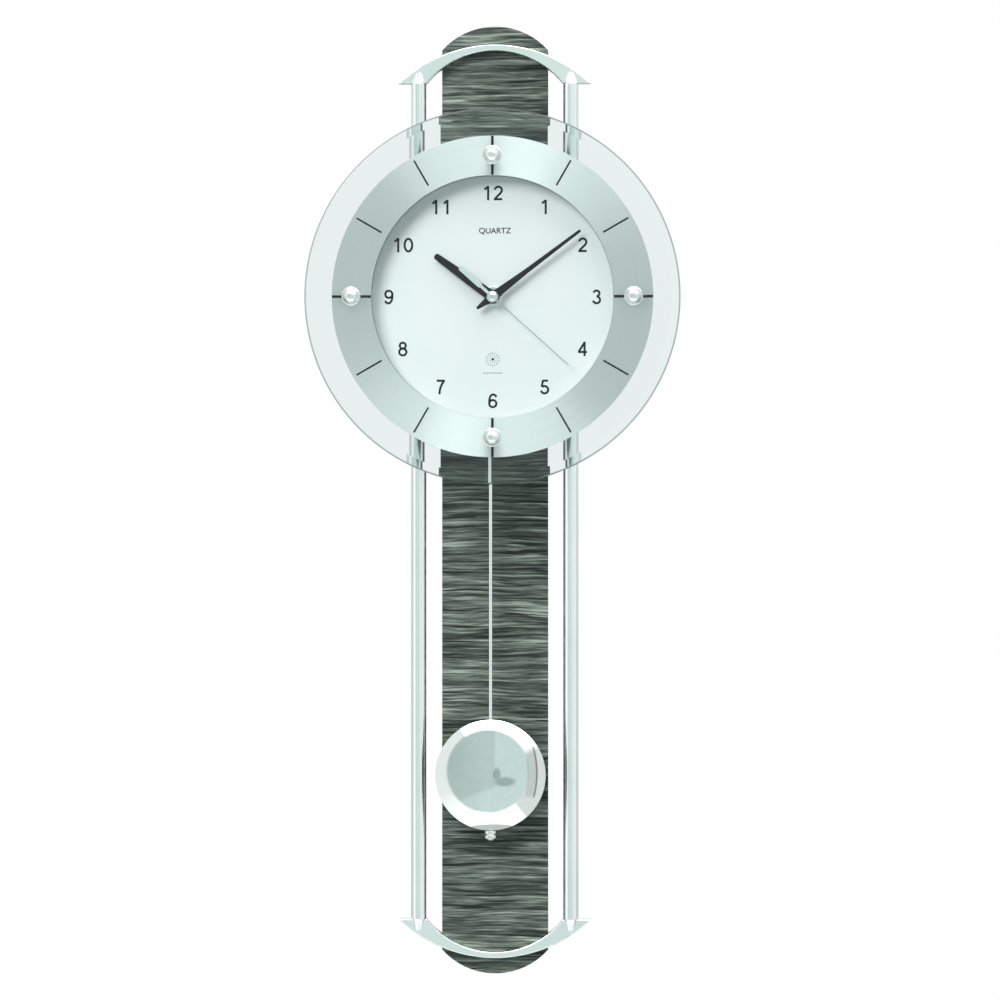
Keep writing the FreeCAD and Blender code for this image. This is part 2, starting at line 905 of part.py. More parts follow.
# ---- battery and contacts ------------------------------------------------------------------
def make_battery():
    half = battery_length / 2
    can_left = -half - battery_tip_length / 2
    can = crossbar(can_left, can_left + battery_length, battery_depth, battery_z, battery_radius)
    tip = crossbar(
        can_left + battery_length - 0.1,
        can_left + battery_length + battery_tip_length,
        battery_depth,
        battery_z,
        battery_tip_radius,
    )
    export("battery", fused(can, tip))
    bay_half = bay_length / 2
    height = 5.0
    plus_left = bay_half - contact_thickness
    plus_bump = can_left + battery_length + battery_tip_length
    plus = fused(
        block(
            plus_left,
            bay_half,
            battery_depth - height,
            battery_depth + height,
            battery_z - height,
            battery_z + height,
        ),
        crossbar(plus_bump, plus_left + 0.1, battery_depth, battery_z, 1.5),
    )
    export("positive_contact", plus)
    minus_right = -bay_half + contact_thickness
    back_plate = block(
        -bay_half,
        minus_right,
        battery_depth - height,
        battery_depth + height,
        battery_z - height,
        battery_z + height,
    )
    leaf = Part.makePolygon(
        [
            at(minus_right, battery_depth, battery_z + height),
            at(can_left, battery_depth, battery_z + 0.8),
            at(can_left, battery_depth, battery_z - 0.8),
            at(minus_right, battery_depth, battery_z - height),
            at(minus_right, battery_depth, battery_z - height + 0.7),
            at(can_left - contact_thickness, battery_depth, battery_z - 0.5),
            at(can_left - contact_thickness, battery_depth, battery_z + 0.5),
            at(minus_right, battery_depth, battery_z + height - 0.7),
            at(minus_right, battery_depth, battery_z + height),
        ]
    )
    spring = Part.Face(leaf).extrude(out_of_wall * 3.0)
    spring.translate(FreeCAD.Vector(0, 1.5, 0))
    export("negative_contact", fused(back_plate, spring))


# ---- gears ---------------------------------------------------------------------------------
def toothed(place, teeth, module, back, front, tooth_direction, addendum):
    """A toothed disc with thin straight-sided teeth, one of them at tooth_direction."""
    x, z = place
    pitch_radius = module * teeth / 2
    tip_radius = pitch_radius + addendum * module
    root_radius = pitch_radius - tooth_dedendum * module
    step = 360.0 / teeth
    half_pitch = tooth_share * step / 2
    half_root = half_pitch * 1.45
    half_tip = half_pitch * 0.5
    points = []
    for n in range(teeth):
        middle = tooth_direction + n * step
        points.append(polar(x, z, root_radius, middle - half_root))
        points.append(polar(x, z, pitch_radius, middle - half_pitch))
        points.append(polar(x, z, tip_radius, middle - half_tip))
        points.append(polar(x, z, tip_radius, middle + half_tip))
        points.append(polar(x, z, pitch_radius, middle + half_pitch))
        points.append(polar(x, z, root_radius, middle + half_root))
    return plate(points, back, front)


def wheel(place, teeth, module, layer, tooth_direction):
    back = case_back + layer
    return toothed(
        place, teeth, module, back, back + wheel_thickness, tooth_direction, wheel_addendum
    )


def pinion(place, teeth, module, layer, partner_direction):
    """A pinion centred on a wheel's layer, with a gap facing the wheel it meshes with."""
    back = case_back + layer + (wheel_thickness - pinion_length) / 2
    tooth_direction = partner_direction + 180.0 / teeth
    return toothed(
        place, teeth, module, back, back + pinion_length, tooth_direction, wheel_addendum
    )


def arbor(place):
    return disc(*place, arbor_back, arbor_front, arbor_radius)


def make_second_train():
    wheel_second = wheel(
        centre, second_wheel_teeth, fine_module, second_layer, second_relay_direction
    )
    shaft = disc(
        *centre, arbor_back, second_hand_back + second_hand_thickness, second_arbor_radius
    )
    export("second_wheel", fused(wheel_second, shaft))
    relay = fused(
        arbor(second_relay),
        pinion(
            second_relay,
            second_relay_pinion_teeth,
            fine_module,
            second_layer,
            second_relay_direction + 180,
        ),
        wheel(
            second_relay,
            second_relay_wheel_teeth,
            fine_module,
            second_relay_layer,
            second_rotor_direction,
        ),
        disc(*second_relay, case_back + second_layer, case_back + second_relay_layer, 1.1),
    )
    export("second_relay_wheel", relay)
    magnet_back = case_back + second_magnet_layer
    rotor = fused(
        arbor(second_rotor),
        pinion(
            second_rotor,
            rotor_pinion_teeth,
            fine_module,
            second_relay_layer,
            second_rotor_direction + 180,
        ),
        disc(*second_rotor, magnet_back, magnet_back + magnet_length, magnet_radius),
    )
    export("second_rotor", rotor)


def make_minute_train():
    bore = second_arbor_radius + pipe_clearance
    pipe_front = minute_hand_back + hand_thickness
    pipe = disc(*centre, case_back + minute_layer, pipe_front, minute_pipe_radius)
    wheel_minute = wheel(
        centre, minute_wheel_teeth, fine_module, minute_layer, minute_relay_direction
    )
    cannon = pinion(centre, minute_pinion_teeth, motion_module, motion_layer, motion_direction)
    body = fused(pipe, wheel_minute, cannon)
    body = body.cut(disc(*centre, case_back, pipe_front + 1, bore))
    export("minute_wheel", body)
    relay = fused(
        arbor(minute_relay),
        pinion(
            minute_relay,
            minute_relay_pinion_teeth,
            fine_module,
            minute_layer,
            minute_relay_direction + 180,
        ),
        wheel(
            minute_relay,
            minute_relay_wheel_teeth,
            fine_module,
            minute_relay_layer,
            minute_rotor_direction,
        ),
    )
    export("minute_relay_wheel", relay)
    magnet_back = case_back + minute_magnet_layer
    rotor = fused(
        arbor(minute_rotor),
        pinion(
            minute_rotor,
            rotor_pinion_teeth,
            fine_module,
            minute_relay_layer,
            minute_rotor_direction + 180,
        ),
        disc(*minute_rotor, magnet_back, magnet_back + magnet_length, magnet_radius),
    )
    export("minute_rotor", rotor)


def make_motion_work():
    reverse = motion_direction + 180
    body = fused(
        arbor(motion),
        wheel(motion, motion_wheel_teeth, motion_module, motion_layer, reverse),
        pinion(motion, motion_pinion_teeth, motion_module, hour_layer, reverse),
        disc(*motion, case_back + motion_layer, case_back + hour_layer, 1.6),
    )
    export("motion_wheel", body)
    pipe_front = hour_hand_back + hand_thickness
    hour = fused(
        wheel(centre, hour_wheel_teeth, motion_module, hour_layer, motion_direction),
        disc(*centre, case_back + hour_layer, pipe_front, hour_pipe_radius),
    )
    bore = minute_pipe_radius + pipe_clearance
    export("hour_wheel", hour.cut(disc(*centre, case_back, pipe_front + 1, bore)))


# ---- motors and electronics ----------------------------------------------------------------
def make_motor(name, place, magnet_layer):
    """A stator plate with its rotor hole, and the coil wound on its upper arm."""
    x, z = place
    back = stator_back(magnet_layer)
    front = back + stator_thickness
    middle = (back + front) / 2
    foot = z - stator_below_rotor
    plate_half = stator_width / 2
    lower = block(x - plate_half, x + plate_half, back, front, foot, z + coil_start)
    arm = block(
        x - stator_core_half_width,
        x + stator_core_half_width,
        back,
        front,
        z + coil_start - 0.5,
        foot + stator_height,
    )
    stator = fused(lower, arm)
    stator = stator.cut(disc(x, z, back - 1, front + 1, magnet_radius + stator_hole_clearance))
    export(name + "_stator", stator)
    coil = upright(x, middle, z + coil_start, z + coil_start + coil_length, coil_radius)
    export(name + "_coil", coil.cut(arm))


def make_electronics():
    back = case_back + circuit_layer
    front = back + circuit_thickness
    bottom = axis_z + circuit_bottom
    half = circuit_width / 2
    board = block(-half, half, back, front, bottom, bottom + circuit_height)
    parts = [block(-6, 6, front, front + 1.4, bottom + 2, bottom + 10)]
    switch_back = case_back - button_proud + button_length + button_travel + switch_gap
    for x, z in button_places:
        r = switch_width / 2
        parts.append(block(x - r, x + r, switch_back, back, z - r, z + r))
    export("circuit_board", board)
    export_group("circuit_components", parts)
    half_rod, half_coil = antenna_length / 2, antenna_winding_length / 2
    rod = crossbar(-half_rod, half_rod, antenna_depth, antenna_z, antenna_radius)
    winding = crossbar(-half_coil, half_coil, antenna_depth, antenna_z, antenna_winding_radius)
    export("antenna_rod", rod)
    export("antenna_coil", winding.cut(rod))
    drive_z = axis_z + drive_magnet_height
    inner_face = case_back + case_wall
    coil = tube(
        pendulum_offset,
        drive_z,
        inner_face,
        inner_face + drive_coil_thickness,
        drive_coil_radius,
        drive_coil_bore,
    )
    export("pendulum_drive_coil", coil)


def make_buttons():
    """Push buttons through the rear cover, each with a flange that keeps it in."""
    inner_face = case_back + case_wall
    for name, (x, z) in zip(("set_button", "reset_button"), button_places):
        back = case_back - button_proud
        flange_back = inner_face + 0.05
        flange_front = flange_back + button_flange_thickness
        export(
            name,
            fused(
                disc(x, z, back, back + button_length, button_radius),
                disc(x, z, flange_back, flange_front, button_flange_radius),
            ),
        )


# ---- hands ---------------------------------------------------------------------------------
def tapered(stations, tip_height, back, front):
    """A hand outline symmetric about Z: (height, half width) stations and a round tip."""
    left = [(-half, axis_z + height) for height, half in stations]
    right = [(half, axis_z + height) for height, half in reversed(stations)]
    edges = [line(a, b, back) for a, b in zip(left, left[1:])]
    edges.append(arc(left[-1], (0, axis_z + tip_height), right[0], back))
    edges += [line(a, b, back) for a, b in zip(right, right[1:])]
    edges.append(line(right[-1], left[0], back))
    return outline_plate(edges, back, front)


def make_hour_hand():
    back, front = hour_hand_back, hour_hand_back + hand_thickness
    stations = [
        (2.0, 4.6), (4.0, 3.8), (18.0, 3.45), (29.0, 2.95), (hour_hand_length - 1.3, 2.2)
    ]
    blade = tapered(stations, hour_hand_length, back, front)
    body = fused(blade, disc(*centre, back, front, hour_hub_radius))
    body = body.cut(disc(*centre, back - 1, front + 1, hour_pipe_radius))
    export("hour_hand", ahead(body, hour_angle))


def make_minute_hand():
    back, front = minute_hand_back, minute_hand_back + hand_thickness
    stations = [(1.0, 3.1), (29.0, 1.75), (minute_hand_length - 1.0, 1.0)]
    blade = tapered(stations, minute_hand_length, back, front)
    tail_stations = [(1.0, 3.0), (minute_tail_length - 1.0, 1.1)]
    tail = tapered(tail_stations, minute_tail_length, back, front)
    tail = ahead(tail, 180)
    body = fused(blade, tail, disc(*centre, back, front, minute_hub_radius))
    body = body.cut(disc(*centre, back - 1, front + 1, minute_pipe_radius))
    export("minute_hand", ahead(body, minute_angle))


def make_second_hand():
    back, front = second_hand_back, second_hand_back + second_hand_thickness
    needle = tapered([(1.0, 0.9), (7.0, 0.75), (9.0, 0.4), (second_hand_length - 0.3, 0.35)],
                     second_hand_length, back, front)
    tail = tapered(
        [
            (1.0, 1.05),
            (second_paddle_start - 0.8, 1.05),
            (second_paddle_start, 1.85),
            (second_tail_length - 0.6, 1.85),
        ],
        second_tail_length,
        back,
        front,
    )
    tail = ahead(tail, 180)
    body = fused(needle, tail, disc(*centre, back, front, second_cap_radius))
    body = body.cut(disc(*centre, back - 1, front + 1, second_arbor_radius))
    export("second_hand", ahead(body, second_angle))
    crown = second_cap_height - 1.4
    sphere_radius = (second_cap_radius**2 + crown**2) / (2 * crown)
    cap_front = front + second_cap_height
    land = disc(*centre, front, cap_front - crown, second_cap_radius)
    ball = Part.makeSphere(sphere_radius, at(0, cap_front - sphere_radius, axis_z))
    dome = ball.common(disc(*centre, cap_front - crown, cap_front + 1, second_cap_radius))
    export("second_hand_cap", fused(land, dome))


# ---- pendulum ------------------------------------------------------------------------------
def make_pivot():
    head_back = lever_back - 0.5 - pivot_head_thickness
    head = disc(
        pendulum_offset, pivot_z, head_back, head_back + pivot_head_thickness, pivot_head_radius
    )
    pin = disc(
        pendulum_offset, pivot_z, head_back, case_back + case_wall + 3.0, pivot_pin_radius
    )
    export("pivot_pin", fused(head, pin))


def make_lever():
    """The rocker on the back of the movement: hub, arm, magnet seat and the hook stub."""
    x = pendulum_offset
    foot = pivot_z - lever_length
    half = lever_width / 2
    hub = disc(x, pivot_z, lever_back, lever_front, lever_hub_radius)
    arm = round_plate_box(x - half, x + half, lever_back, lever_front, foot, pivot_z, 1.5)
    stub_back = rod_depth - eye_plate_thickness / 2 - 0.3
    stub = disc(x, hook_z, stub_back - hook_head_thickness, lever_back + 0.5, hook_radius)
    head = disc(x, hook_z, stub_back - hook_head_thickness, stub_back, hook_head_radius)
    body = fused(hub, arm, stub, head)
    bore = pivot_pin_radius + pivot_clearance
    body = body.cut(disc(x, pivot_z, lever_back - 1, lever_front + 1, bore))
    magnet_z = axis_z + drive_magnet_height
    seat_back = lever_front - 2.0
    body = body.cut(disc(x, magnet_z, seat_back, lever_front + 1, drive_magnet_radius))
    export("pendulum_lever", body)
    export("drive_magnet", disc(x, magnet_z, seat_back, lever_front, drive_magnet_radius))


def make_rod():
    x = pendulum_offset
    half = eye_plate_width / 2
    eye_back = rod_depth - eye_plate_thickness / 2
    eye_front = rod_depth + eye_plate_thickness / 2
    eye = round_plate_box(
        x - half, x + half, eye_back, eye_front, hook_z - eye_plate_drop, hook_z + half, 2.0
    )
    eye_z = hook_z - hanger_eye_clearance
    eye_hole_radius = hook_radius + hanger_eye_clearance
    eye = eye.cut(disc(x, eye_z, eye_back - 1, eye_front + 1, eye_hole_radius))
    rod_bottom = nut_top - nut_height + rod_end_above_nut_foot
    rod = upright(x, rod_depth, rod_bottom, hook_z - eye_plate_drop + 3.5, rod_radius)
    export("pendulum_rod", fused(rod, eye))


def bob_skin_profile(inset):
    """Radius and depth points of the dome, from its edge to its crown, inset all round."""
    edge_depth = bob_back + bob_lip
    sphere_radius = (bob_radius**2 + bob_dome_height**2) / (2 * bob_dome_height)
    middle = edge_depth + bob_dome_height - sphere_radius
    return sphere_radius - inset, middle


guide_front = rod_depth + rod_radius + 1.25
bob_back = guide_front


def make_bob():
    x = pendulum_offset
    lip_front = bob_back + bob_lip
    outer_radius, middle = bob_skin_profile(0)
    inner_radius, _ = bob_skin_profile(bob_skin)
    crown = lip_front + bob_dome_height + 1
    lip = tube(x, bob_z, bob_back, lip_front, bob_radius, bob_radius - bob_skin)
    outer = Part.makeSphere(outer_radius, at(x, middle, bob_z))
    inner = Part.makeSphere(inner_radius, at(x, middle, bob_z))
    dome = outer.common(disc(x, bob_z, lip_front, crown, bob_radius)).cut(inner)
    export("bob_dome", fused(lip, dome))
    back_radius = bob_radius - bob_skin
    export("bob_back", disc(x, bob_z, bob_back, bob_back + bob_back_thickness, back_radius))
    guide_bottom = nut_top
    guide = round_plate_box_upright(
        x, rod_depth - rod_radius - 1.25, guide_front, guide_bottom, guide_bottom + guide_length
    )
    bore_radius = rod_radius + guide_clearance
    bore = upright(x, rod_depth, guide_bottom - 1, guide_bottom + guide_length + 1, bore_radius)
    export("bob_guide", guide.cut(bore))


def round_plate_box_upright(x, back, front, bottom, top):
    """A bar along Z whose four long edges are rounded."""
    bar = block(x - guide_half_width, x + guide_half_width, back, front, bottom, top)
    edges = [e for e in bar.Edges if abs(e.tangentAt(e.FirstParameter).z) > 0.99]
    return bar.makeFillet(0.8, edges)


def make_rating_nut():
    """Two collars with a neck between them and a tapered foot, turned about the rod."""
    bore = rod_radius + guide_clearance
    foot = nut_top - nut_height
    neck_top = nut_top - collar_height
    neck_bottom = neck_top - neck_height
    lower_collar_bottom = neck_bottom - collar_height + 0.2
    profile = [
        (0, nut_top),
        (nut_collar_radius, nut_top),
        (nut_collar_radius, neck_top),
        (nut_neck_radius, neck_top),
        (nut_neck_radius, neck_bottom),
        (nut_collar_radius, neck_bottom),
        (nut_collar_radius, lower_collar_bottom),
        (nut_foot_radius, foot),
        (0, foot),
    ]
    body = upright_turned(pendulum_offset, rod_depth, profile)
    hole = upright(pendulum_offset, rod_depth, foot - 1, nut_top + 1, bore)
    export("rating_nut", body.cut(hole))


os.makedirs("parts", exist_ok=True)
make_board()
make_hanger()
make_bumpers()
make_yokes()
make_columns()
make_carrier()
make_posts()
make_dial()
make_glass()
make_rear_case()
make_front_case()
make_bushing()
make_battery()
make_second_train()
make_minute_train()
make_motion_work()
make_motor("second_motor", second_rotor, second_magnet_layer)
make_motor("minute_motor", minute_rotor, minute_magnet_layer)
make_electronics()
make_buttons()
make_hour_hand()
make_minute_hand()
make_second_hand()
make_pivot()
make_lever()
make_rod()
make_bob()
make_rating_nut()
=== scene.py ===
"""Looks of the pendulum wall clock: glass, chrome, brushed and anodised aluminium, stained veneer,
lacquered hands and printed dial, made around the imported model. Metres, +Z up, the dial faces -Y.
Depth is the distance out from the wall, so a point at depth d has y = -d.
"""

import json
import math

import bmesh
import bpy
from mathutils import Matrix, Vector


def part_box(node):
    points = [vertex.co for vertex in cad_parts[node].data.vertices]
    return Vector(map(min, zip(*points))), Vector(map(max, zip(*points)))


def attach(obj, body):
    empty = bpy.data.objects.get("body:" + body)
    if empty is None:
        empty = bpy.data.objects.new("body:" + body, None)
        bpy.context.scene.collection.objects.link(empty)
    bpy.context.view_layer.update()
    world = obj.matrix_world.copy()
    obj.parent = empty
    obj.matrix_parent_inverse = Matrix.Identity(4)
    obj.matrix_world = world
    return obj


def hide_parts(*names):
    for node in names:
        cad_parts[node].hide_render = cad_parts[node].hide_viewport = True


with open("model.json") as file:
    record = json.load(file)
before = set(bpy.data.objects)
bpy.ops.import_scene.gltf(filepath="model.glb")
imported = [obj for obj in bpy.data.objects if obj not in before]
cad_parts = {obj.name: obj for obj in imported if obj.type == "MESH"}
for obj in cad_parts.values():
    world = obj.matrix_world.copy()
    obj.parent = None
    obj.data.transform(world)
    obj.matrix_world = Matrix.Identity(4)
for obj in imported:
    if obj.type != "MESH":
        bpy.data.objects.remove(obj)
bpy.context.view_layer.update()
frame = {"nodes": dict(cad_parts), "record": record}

MM = 0.001
record = frame["record"]
body_of_node = {n: b for b, nodes in record["behaviour"]["bodies"].items() for n in nodes}
slot_of_node = {s["node"]: s["material_slot"] for s in record["subparts"]}


# ---- where things are ----------------------------------------------------------------------
def middle(node):
    """A node's middle x, middle z, back depth, front depth and half width."""
    low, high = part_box(node)
    half = max(high.x - low.x, high.z - low.z) / 2
    return (low.x + high.x) / 2, (low.z + high.z) / 2, -high.y, -low.y, half


_, axis_z, dial_back, dial_front, dial_radius = middle("dial_plate")
_, _, ring_back, ring_front, ring_radius = middle("dial_ring")
_, _, glass_back, glass_front, glass_radius = middle("glass_pane")
_, _, cap_back, cap_front, cap_reach = middle("glass_caps")
cap_radius = 6.6 * MM
stud_circle = cap_reach - cap_radius
ring_hole = 85.4 * MM


# ---- colours and node trees ----------------------------------------------------------------
def linear(hex_colour):
    """An sRGB hex colour as linear RGBA."""
    channels = [int(hex_colour[i : i + 2], 16) / 255 for i in (1, 3, 5)]
    curve = [c / 12.92 if c <= 0.04045 else ((c + 0.055) / 1.055) ** 2.4 for c in channels]
    return (*curve, 1.0)


def add(tree, kind, sockets=None, stops=None, **settings):
    """Adds a node. Each socket takes a value, or another node's output to link."""
    made = tree.nodes.new(kind)
    for name, value in settings.items():
        setattr(made, name, value)
    for key, value in (sockets or {}).items():
        if isinstance(value, bpy.types.NodeSocket):
            tree.links.new(value, made.inputs[key])
        else:
            made.inputs[key].default_value = value
    if stops:
        elements = made.color_ramp.elements
        while len(elements) < len(stops):
            elements.new(1.0)
        for element, (position, colour) in zip(elements, stops):
            element.position = position
            element.color = linear(colour) if isinstance(colour, str) else (*[colour] * 3, 1.0)
    return made


def blank(name):
    """A new material, its empty tree and its Object coordinates."""
    material = bpy.data.materials.new(name)
    material.use_nodes = True
    tree = material.node_tree
    tree.nodes.clear()
    return material, tree, add(tree, "ShaderNodeTexCoord").outputs["Object"]


def grained(name, dark, light, rough, grain, depth, metallic=0.0, ior=None, stretch=(1, 1, 1),
            coat=0.0, gloss=None):
    """A surface with one fine grain: a little colour and roughness variation and a light bump.

    rough is a (low, high) range, grain the size of one speck in mm and depth its height in mm.
    gloss, where given, is the specular level of a surface that shines less than its IOR says.
    """
    cloud_size = 35
    material, tree, place = blank(name)
    stretched = add(tree, "ShaderNodeMapping", {"Vector": place, "Scale": stretch})
    speck = add(
        tree,
        "ShaderNodeTexNoise",
        {"Vector": stretched.outputs[0], "Scale": 1000 / grain, "Detail": 3.0, "Roughness": 0.6},
    ).outputs["Fac"]
    cloud = add(
        tree,
        "ShaderNodeTexNoise",
        {"Vector": place, "Scale": 1000 / cloud_size, "Detail": 2.0, "Roughness": 0.5},
    ).outputs["Fac"]
    mixed = add(tree, "ShaderNodeMath", {0: speck, 1: cloud}, operation="ADD").outputs[0]
    halved = add(tree, "ShaderNodeMath", {0: mixed, 1: 0.5}, operation="MULTIPLY").outputs[0]
    colour = add(
        tree, "ShaderNodeValToRGB", {"Fac": halved}, stops=[(0.32, dark), (0.68, light)]
    ).outputs["Color"]
    roughness = add(
        tree,
        "ShaderNodeMapRange",
        {"Value": halved, "From Min": 0.3, "From Max": 0.7, "To Min": rough[0], "To Max": rough[1]},
    ).outputs[0]
    bump = add(
        tree, "ShaderNodeBump", {"Height": speck, "Strength": 1.0, "Distance": depth * MM}
    ).outputs[0]
    shader = add(
        tree,
        "ShaderNodeBsdfPrincipled",
        {"Base Color": colour, "Roughness": roughness, "Normal": bump, "Metallic": metallic},
    )
    if ior:
        shader.inputs["IOR"].default_value = ior
    if coat:
        shader.inputs["Coat Weight"].default_value = coat
        shader.inputs["Coat Roughness"].default_value = 0.08
    if gloss is not None:
        shader.inputs["Specular IOR Level"].default_value = gloss
    add(tree, "ShaderNodeOutputMaterial", {"Surface": shader.outputs[0]})
    return material


# ---- materials -----------------------------------------------------------------------------
def grey_oak_veneer():
    """Stained, brushed oak veneer laid with its grain across the board: long wavy streaks, light
    where the early wood was brushed out, with thin dark open pores."""
    material, tree, place = blank("grey_oak_veneer")

    def drawn_out(source, length, height, detail, roughness):
        """Noise drawn out along the grain: length and height of one streak in mm."""
        scale = (1000 / length, 1000 / length, 1000 / height)
        flat = add(tree, "ShaderNodeMapping", {"Vector": source, "Scale": scale}).outputs[0]
        sockets = {"Vector": flat, "Scale": 1.0, "Detail": detail, "Roughness": roughness}
        return add(tree, "ShaderNodeTexNoise", sockets).outputs

    wander = drawn_out(place, 60, 26, 1.0, 0.5)["Color"]
    centred = add(
        tree, "ShaderNodeVectorMath", {0: wander, 1: (0.5, 0.5, 0.5)}, operation="SUBTRACT"
    ).outputs[0]
    shift = add(
        tree, "ShaderNodeVectorMath", {0: centred, 1: (0, 0, 6 * MM)}, operation="MULTIPLY"
    ).outputs[0]
    drifted = add(tree, "ShaderNodeVectorMath", {0: place, 1: shift}, operation="ADD").outputs[0]
    zones = drawn_out(drifted, 150, 11, 1.0, 0.5)["Fac"]
    bands = drawn_out(drifted, 85, 2.8, 2.0, 0.6)["Fac"]
    fibres = drawn_out(drifted, 22, 1.0, 2.0, 0.6)["Fac"]
    pores = drawn_out(drifted, 60, 1.5, 1.0, 0.5)["Fac"]
    figure = add(
        tree, "ShaderNodeMix", {0: 0.5, 2: bands, 3: fibres}, data_type="FLOAT"
    ).outputs[0]
    figure = add(
        tree, "ShaderNodeMix", {0: 0.14, 2: figure, 3: zones}, data_type="FLOAT"
    ).outputs[0]
    colour = add(
        tree,
        "ShaderNodeValToRGB",
        {"Fac": figure},
        stops=[
            (0.38, "#222824"),
            (0.44, "#39403B"),
            (0.50, "#58615A"),
            (0.56, "#79837A"),
            (0.63, "#A9B4AA"),
        ],
    ).outputs["Color"]
    open_pore = add(
        tree, "ShaderNodeValToRGB", {"Fac": pores}, stops=[(0.345, 0.0), (0.385, 1.0)]
    ).outputs["Color"]
    stained = add(
        tree,
        "ShaderNodeMix",
        {0: open_pore, 6: linear("#1B201D"), 7: colour},
        data_type="RGBA",
    ).outputs[2]
    roughness = add(
        tree, "ShaderNodeMapRange", {"Value": figure, "To Min": 0.62, "To Max": 0.42}
    ).outputs[0]
    relief = add(tree, "ShaderNodeMath", {0: open_pore, 1: figure}, operation="ADD").outputs[0]
    bump = add(
        tree, "ShaderNodeBump", {"Height": relief, "Strength": 0.7, "Distance": 0.12 * MM}
    ).outputs[0]
    shader = add(
        tree,
        "ShaderNodeBsdfPrincipled",
        {
            "Base Color": stained,
            "Roughness": roughness,
            "Normal": bump,
            "IOR": 1.5,
            "Specular IOR Level": 0.25,
        },
    )
    add(tree, "ShaderNodeOutputMaterial", {"Surface": shader.outputs[0]})
    return material


def turned_aluminium():
    """Brushed aluminium sheet, brushed round and round its centre and clear anodised. The fine
    circular scratches throw light fans across the ring."""
    material, tree, _ = blank("turned_aluminium")
    turn = add(tree, "ShaderNodeUVMap", uv_map="turn")
    parts = add(tree, "ShaderNodeSeparateXYZ", {0: turn.outputs[0]})
    along, across = parts.outputs[0], parts.outputs[1]
    scratch_place = add(tree, "ShaderNodeCombineXYZ", {0: along, 1: across}).outputs[0]
    scaled = add(
        tree, "ShaderNodeMapping", {"Vector": scratch_place, "Scale": (9.0, 260.0, 1.0)}
    ).outputs[0]
    scratches = add(
        tree,
        "ShaderNodeTexNoise",
        {"Vector": scaled, "Scale": 1.0, "Detail": 3.0, "Roughness": 0.7},
    ).outputs["Fac"]
    colour = add(
        tree,
        "ShaderNodeValToRGB",
        {"Fac": scratches},
        stops=[(0.3, "#F0F7F5"), (0.7, "#FBFEFD")],
    ).outputs["Color"]
    roughness = add(
        tree,
        "ShaderNodeMapRange",
        {"Value": scratches, "From Min": 0.3, "From Max": 0.7, "To Min": 0.50, "To Max": 0.58},
    ).outputs[0]
    bump = add(
        tree, "ShaderNodeBump", {"Height": scratches, "Strength": 0.25, "Distance": 0.01 * MM}
    ).outputs[0]
    tangent = add(tree, "ShaderNodeTangent", direction_type="UV_MAP", uv_map="turn").outputs[0]
    shader = add(
        tree,
        "ShaderNodeBsdfPrincipled",
        {
            "Base Color": colour,
            "Roughness": roughness,
            "Normal": bump,
            "Metallic": 0.9,
            "Anisotropic": 1.0,
            "Anisotropic Rotation": 0.25,
            "Tangent": tangent,
        },
    )
    add(tree, "ShaderNodeOutputMaterial", {"Surface": shader.outputs[0]})
    return material


def float_glass():
    """Clear float glass with polished faces and bevel. Its ground rim, seen through much more
    glass, is a grey-green line, darker than a white wall and lighter than the board. Rays other
    than those the eye follows pass straight through, so that lamps light what is behind it."""
    material, tree, place = blank("float_glass")
    flat = add(
        tree, "ShaderNodeVectorMath", {0: place, 1: (0, 0, axis_z)}, operation="SUBTRACT"
    ).outputs[0]
    flat = add(
        tree, "ShaderNodeVectorMath", {0: flat, 1: (1, 0, 1)}, operation="MULTIPLY"
    ).outputs[0]
    reach = add(tree, "ShaderNodeVectorMath", {0: flat}, operation="LENGTH").outputs["Value"]
    rim = add(
        tree,
        "ShaderNodeMapRange",
        {"Value": reach, "From Min": glass_radius - 1.3 * MM, "From Max": glass_radius - 0.9 * MM},
    ).outputs[0]
    rim_grind = add(
        tree, "ShaderNodeMath", {0: rim, 1: 0.5}, operation="MULTIPLY"
    ).outputs[0]
    tint = add(
        tree,
        "ShaderNodeMix",
        {0: rim, 6: linear("#DAE5E4"), 7: linear("#5E7A72")},
        data_type="RGBA",
    ).outputs[2]
    glass = add(
        tree,
        "ShaderNodeBsdfPrincipled",
        {
            "Base Color": tint,
            "Roughness": rim_grind,
            "IOR": 1.52,
            "Transmission Weight": 1.0,
        },
    ).outputs[0]
    path = add(tree, "ShaderNodeLightPath")
    for ray in ("Is Glossy Ray", "Is Diffuse Ray", "Is Shadow Ray"):
        through = add(tree, "ShaderNodeBsdfTransparent", {"Color": linear("#FCFDFD")}).outputs[0]
        glass = add(
            tree, "ShaderNodeMixShader", {0: path.outputs[ray], 1: glass, 2: through}
        ).outputs[0]
    add(tree, "ShaderNodeOutputMaterial", {"Surface": glass})
    return material


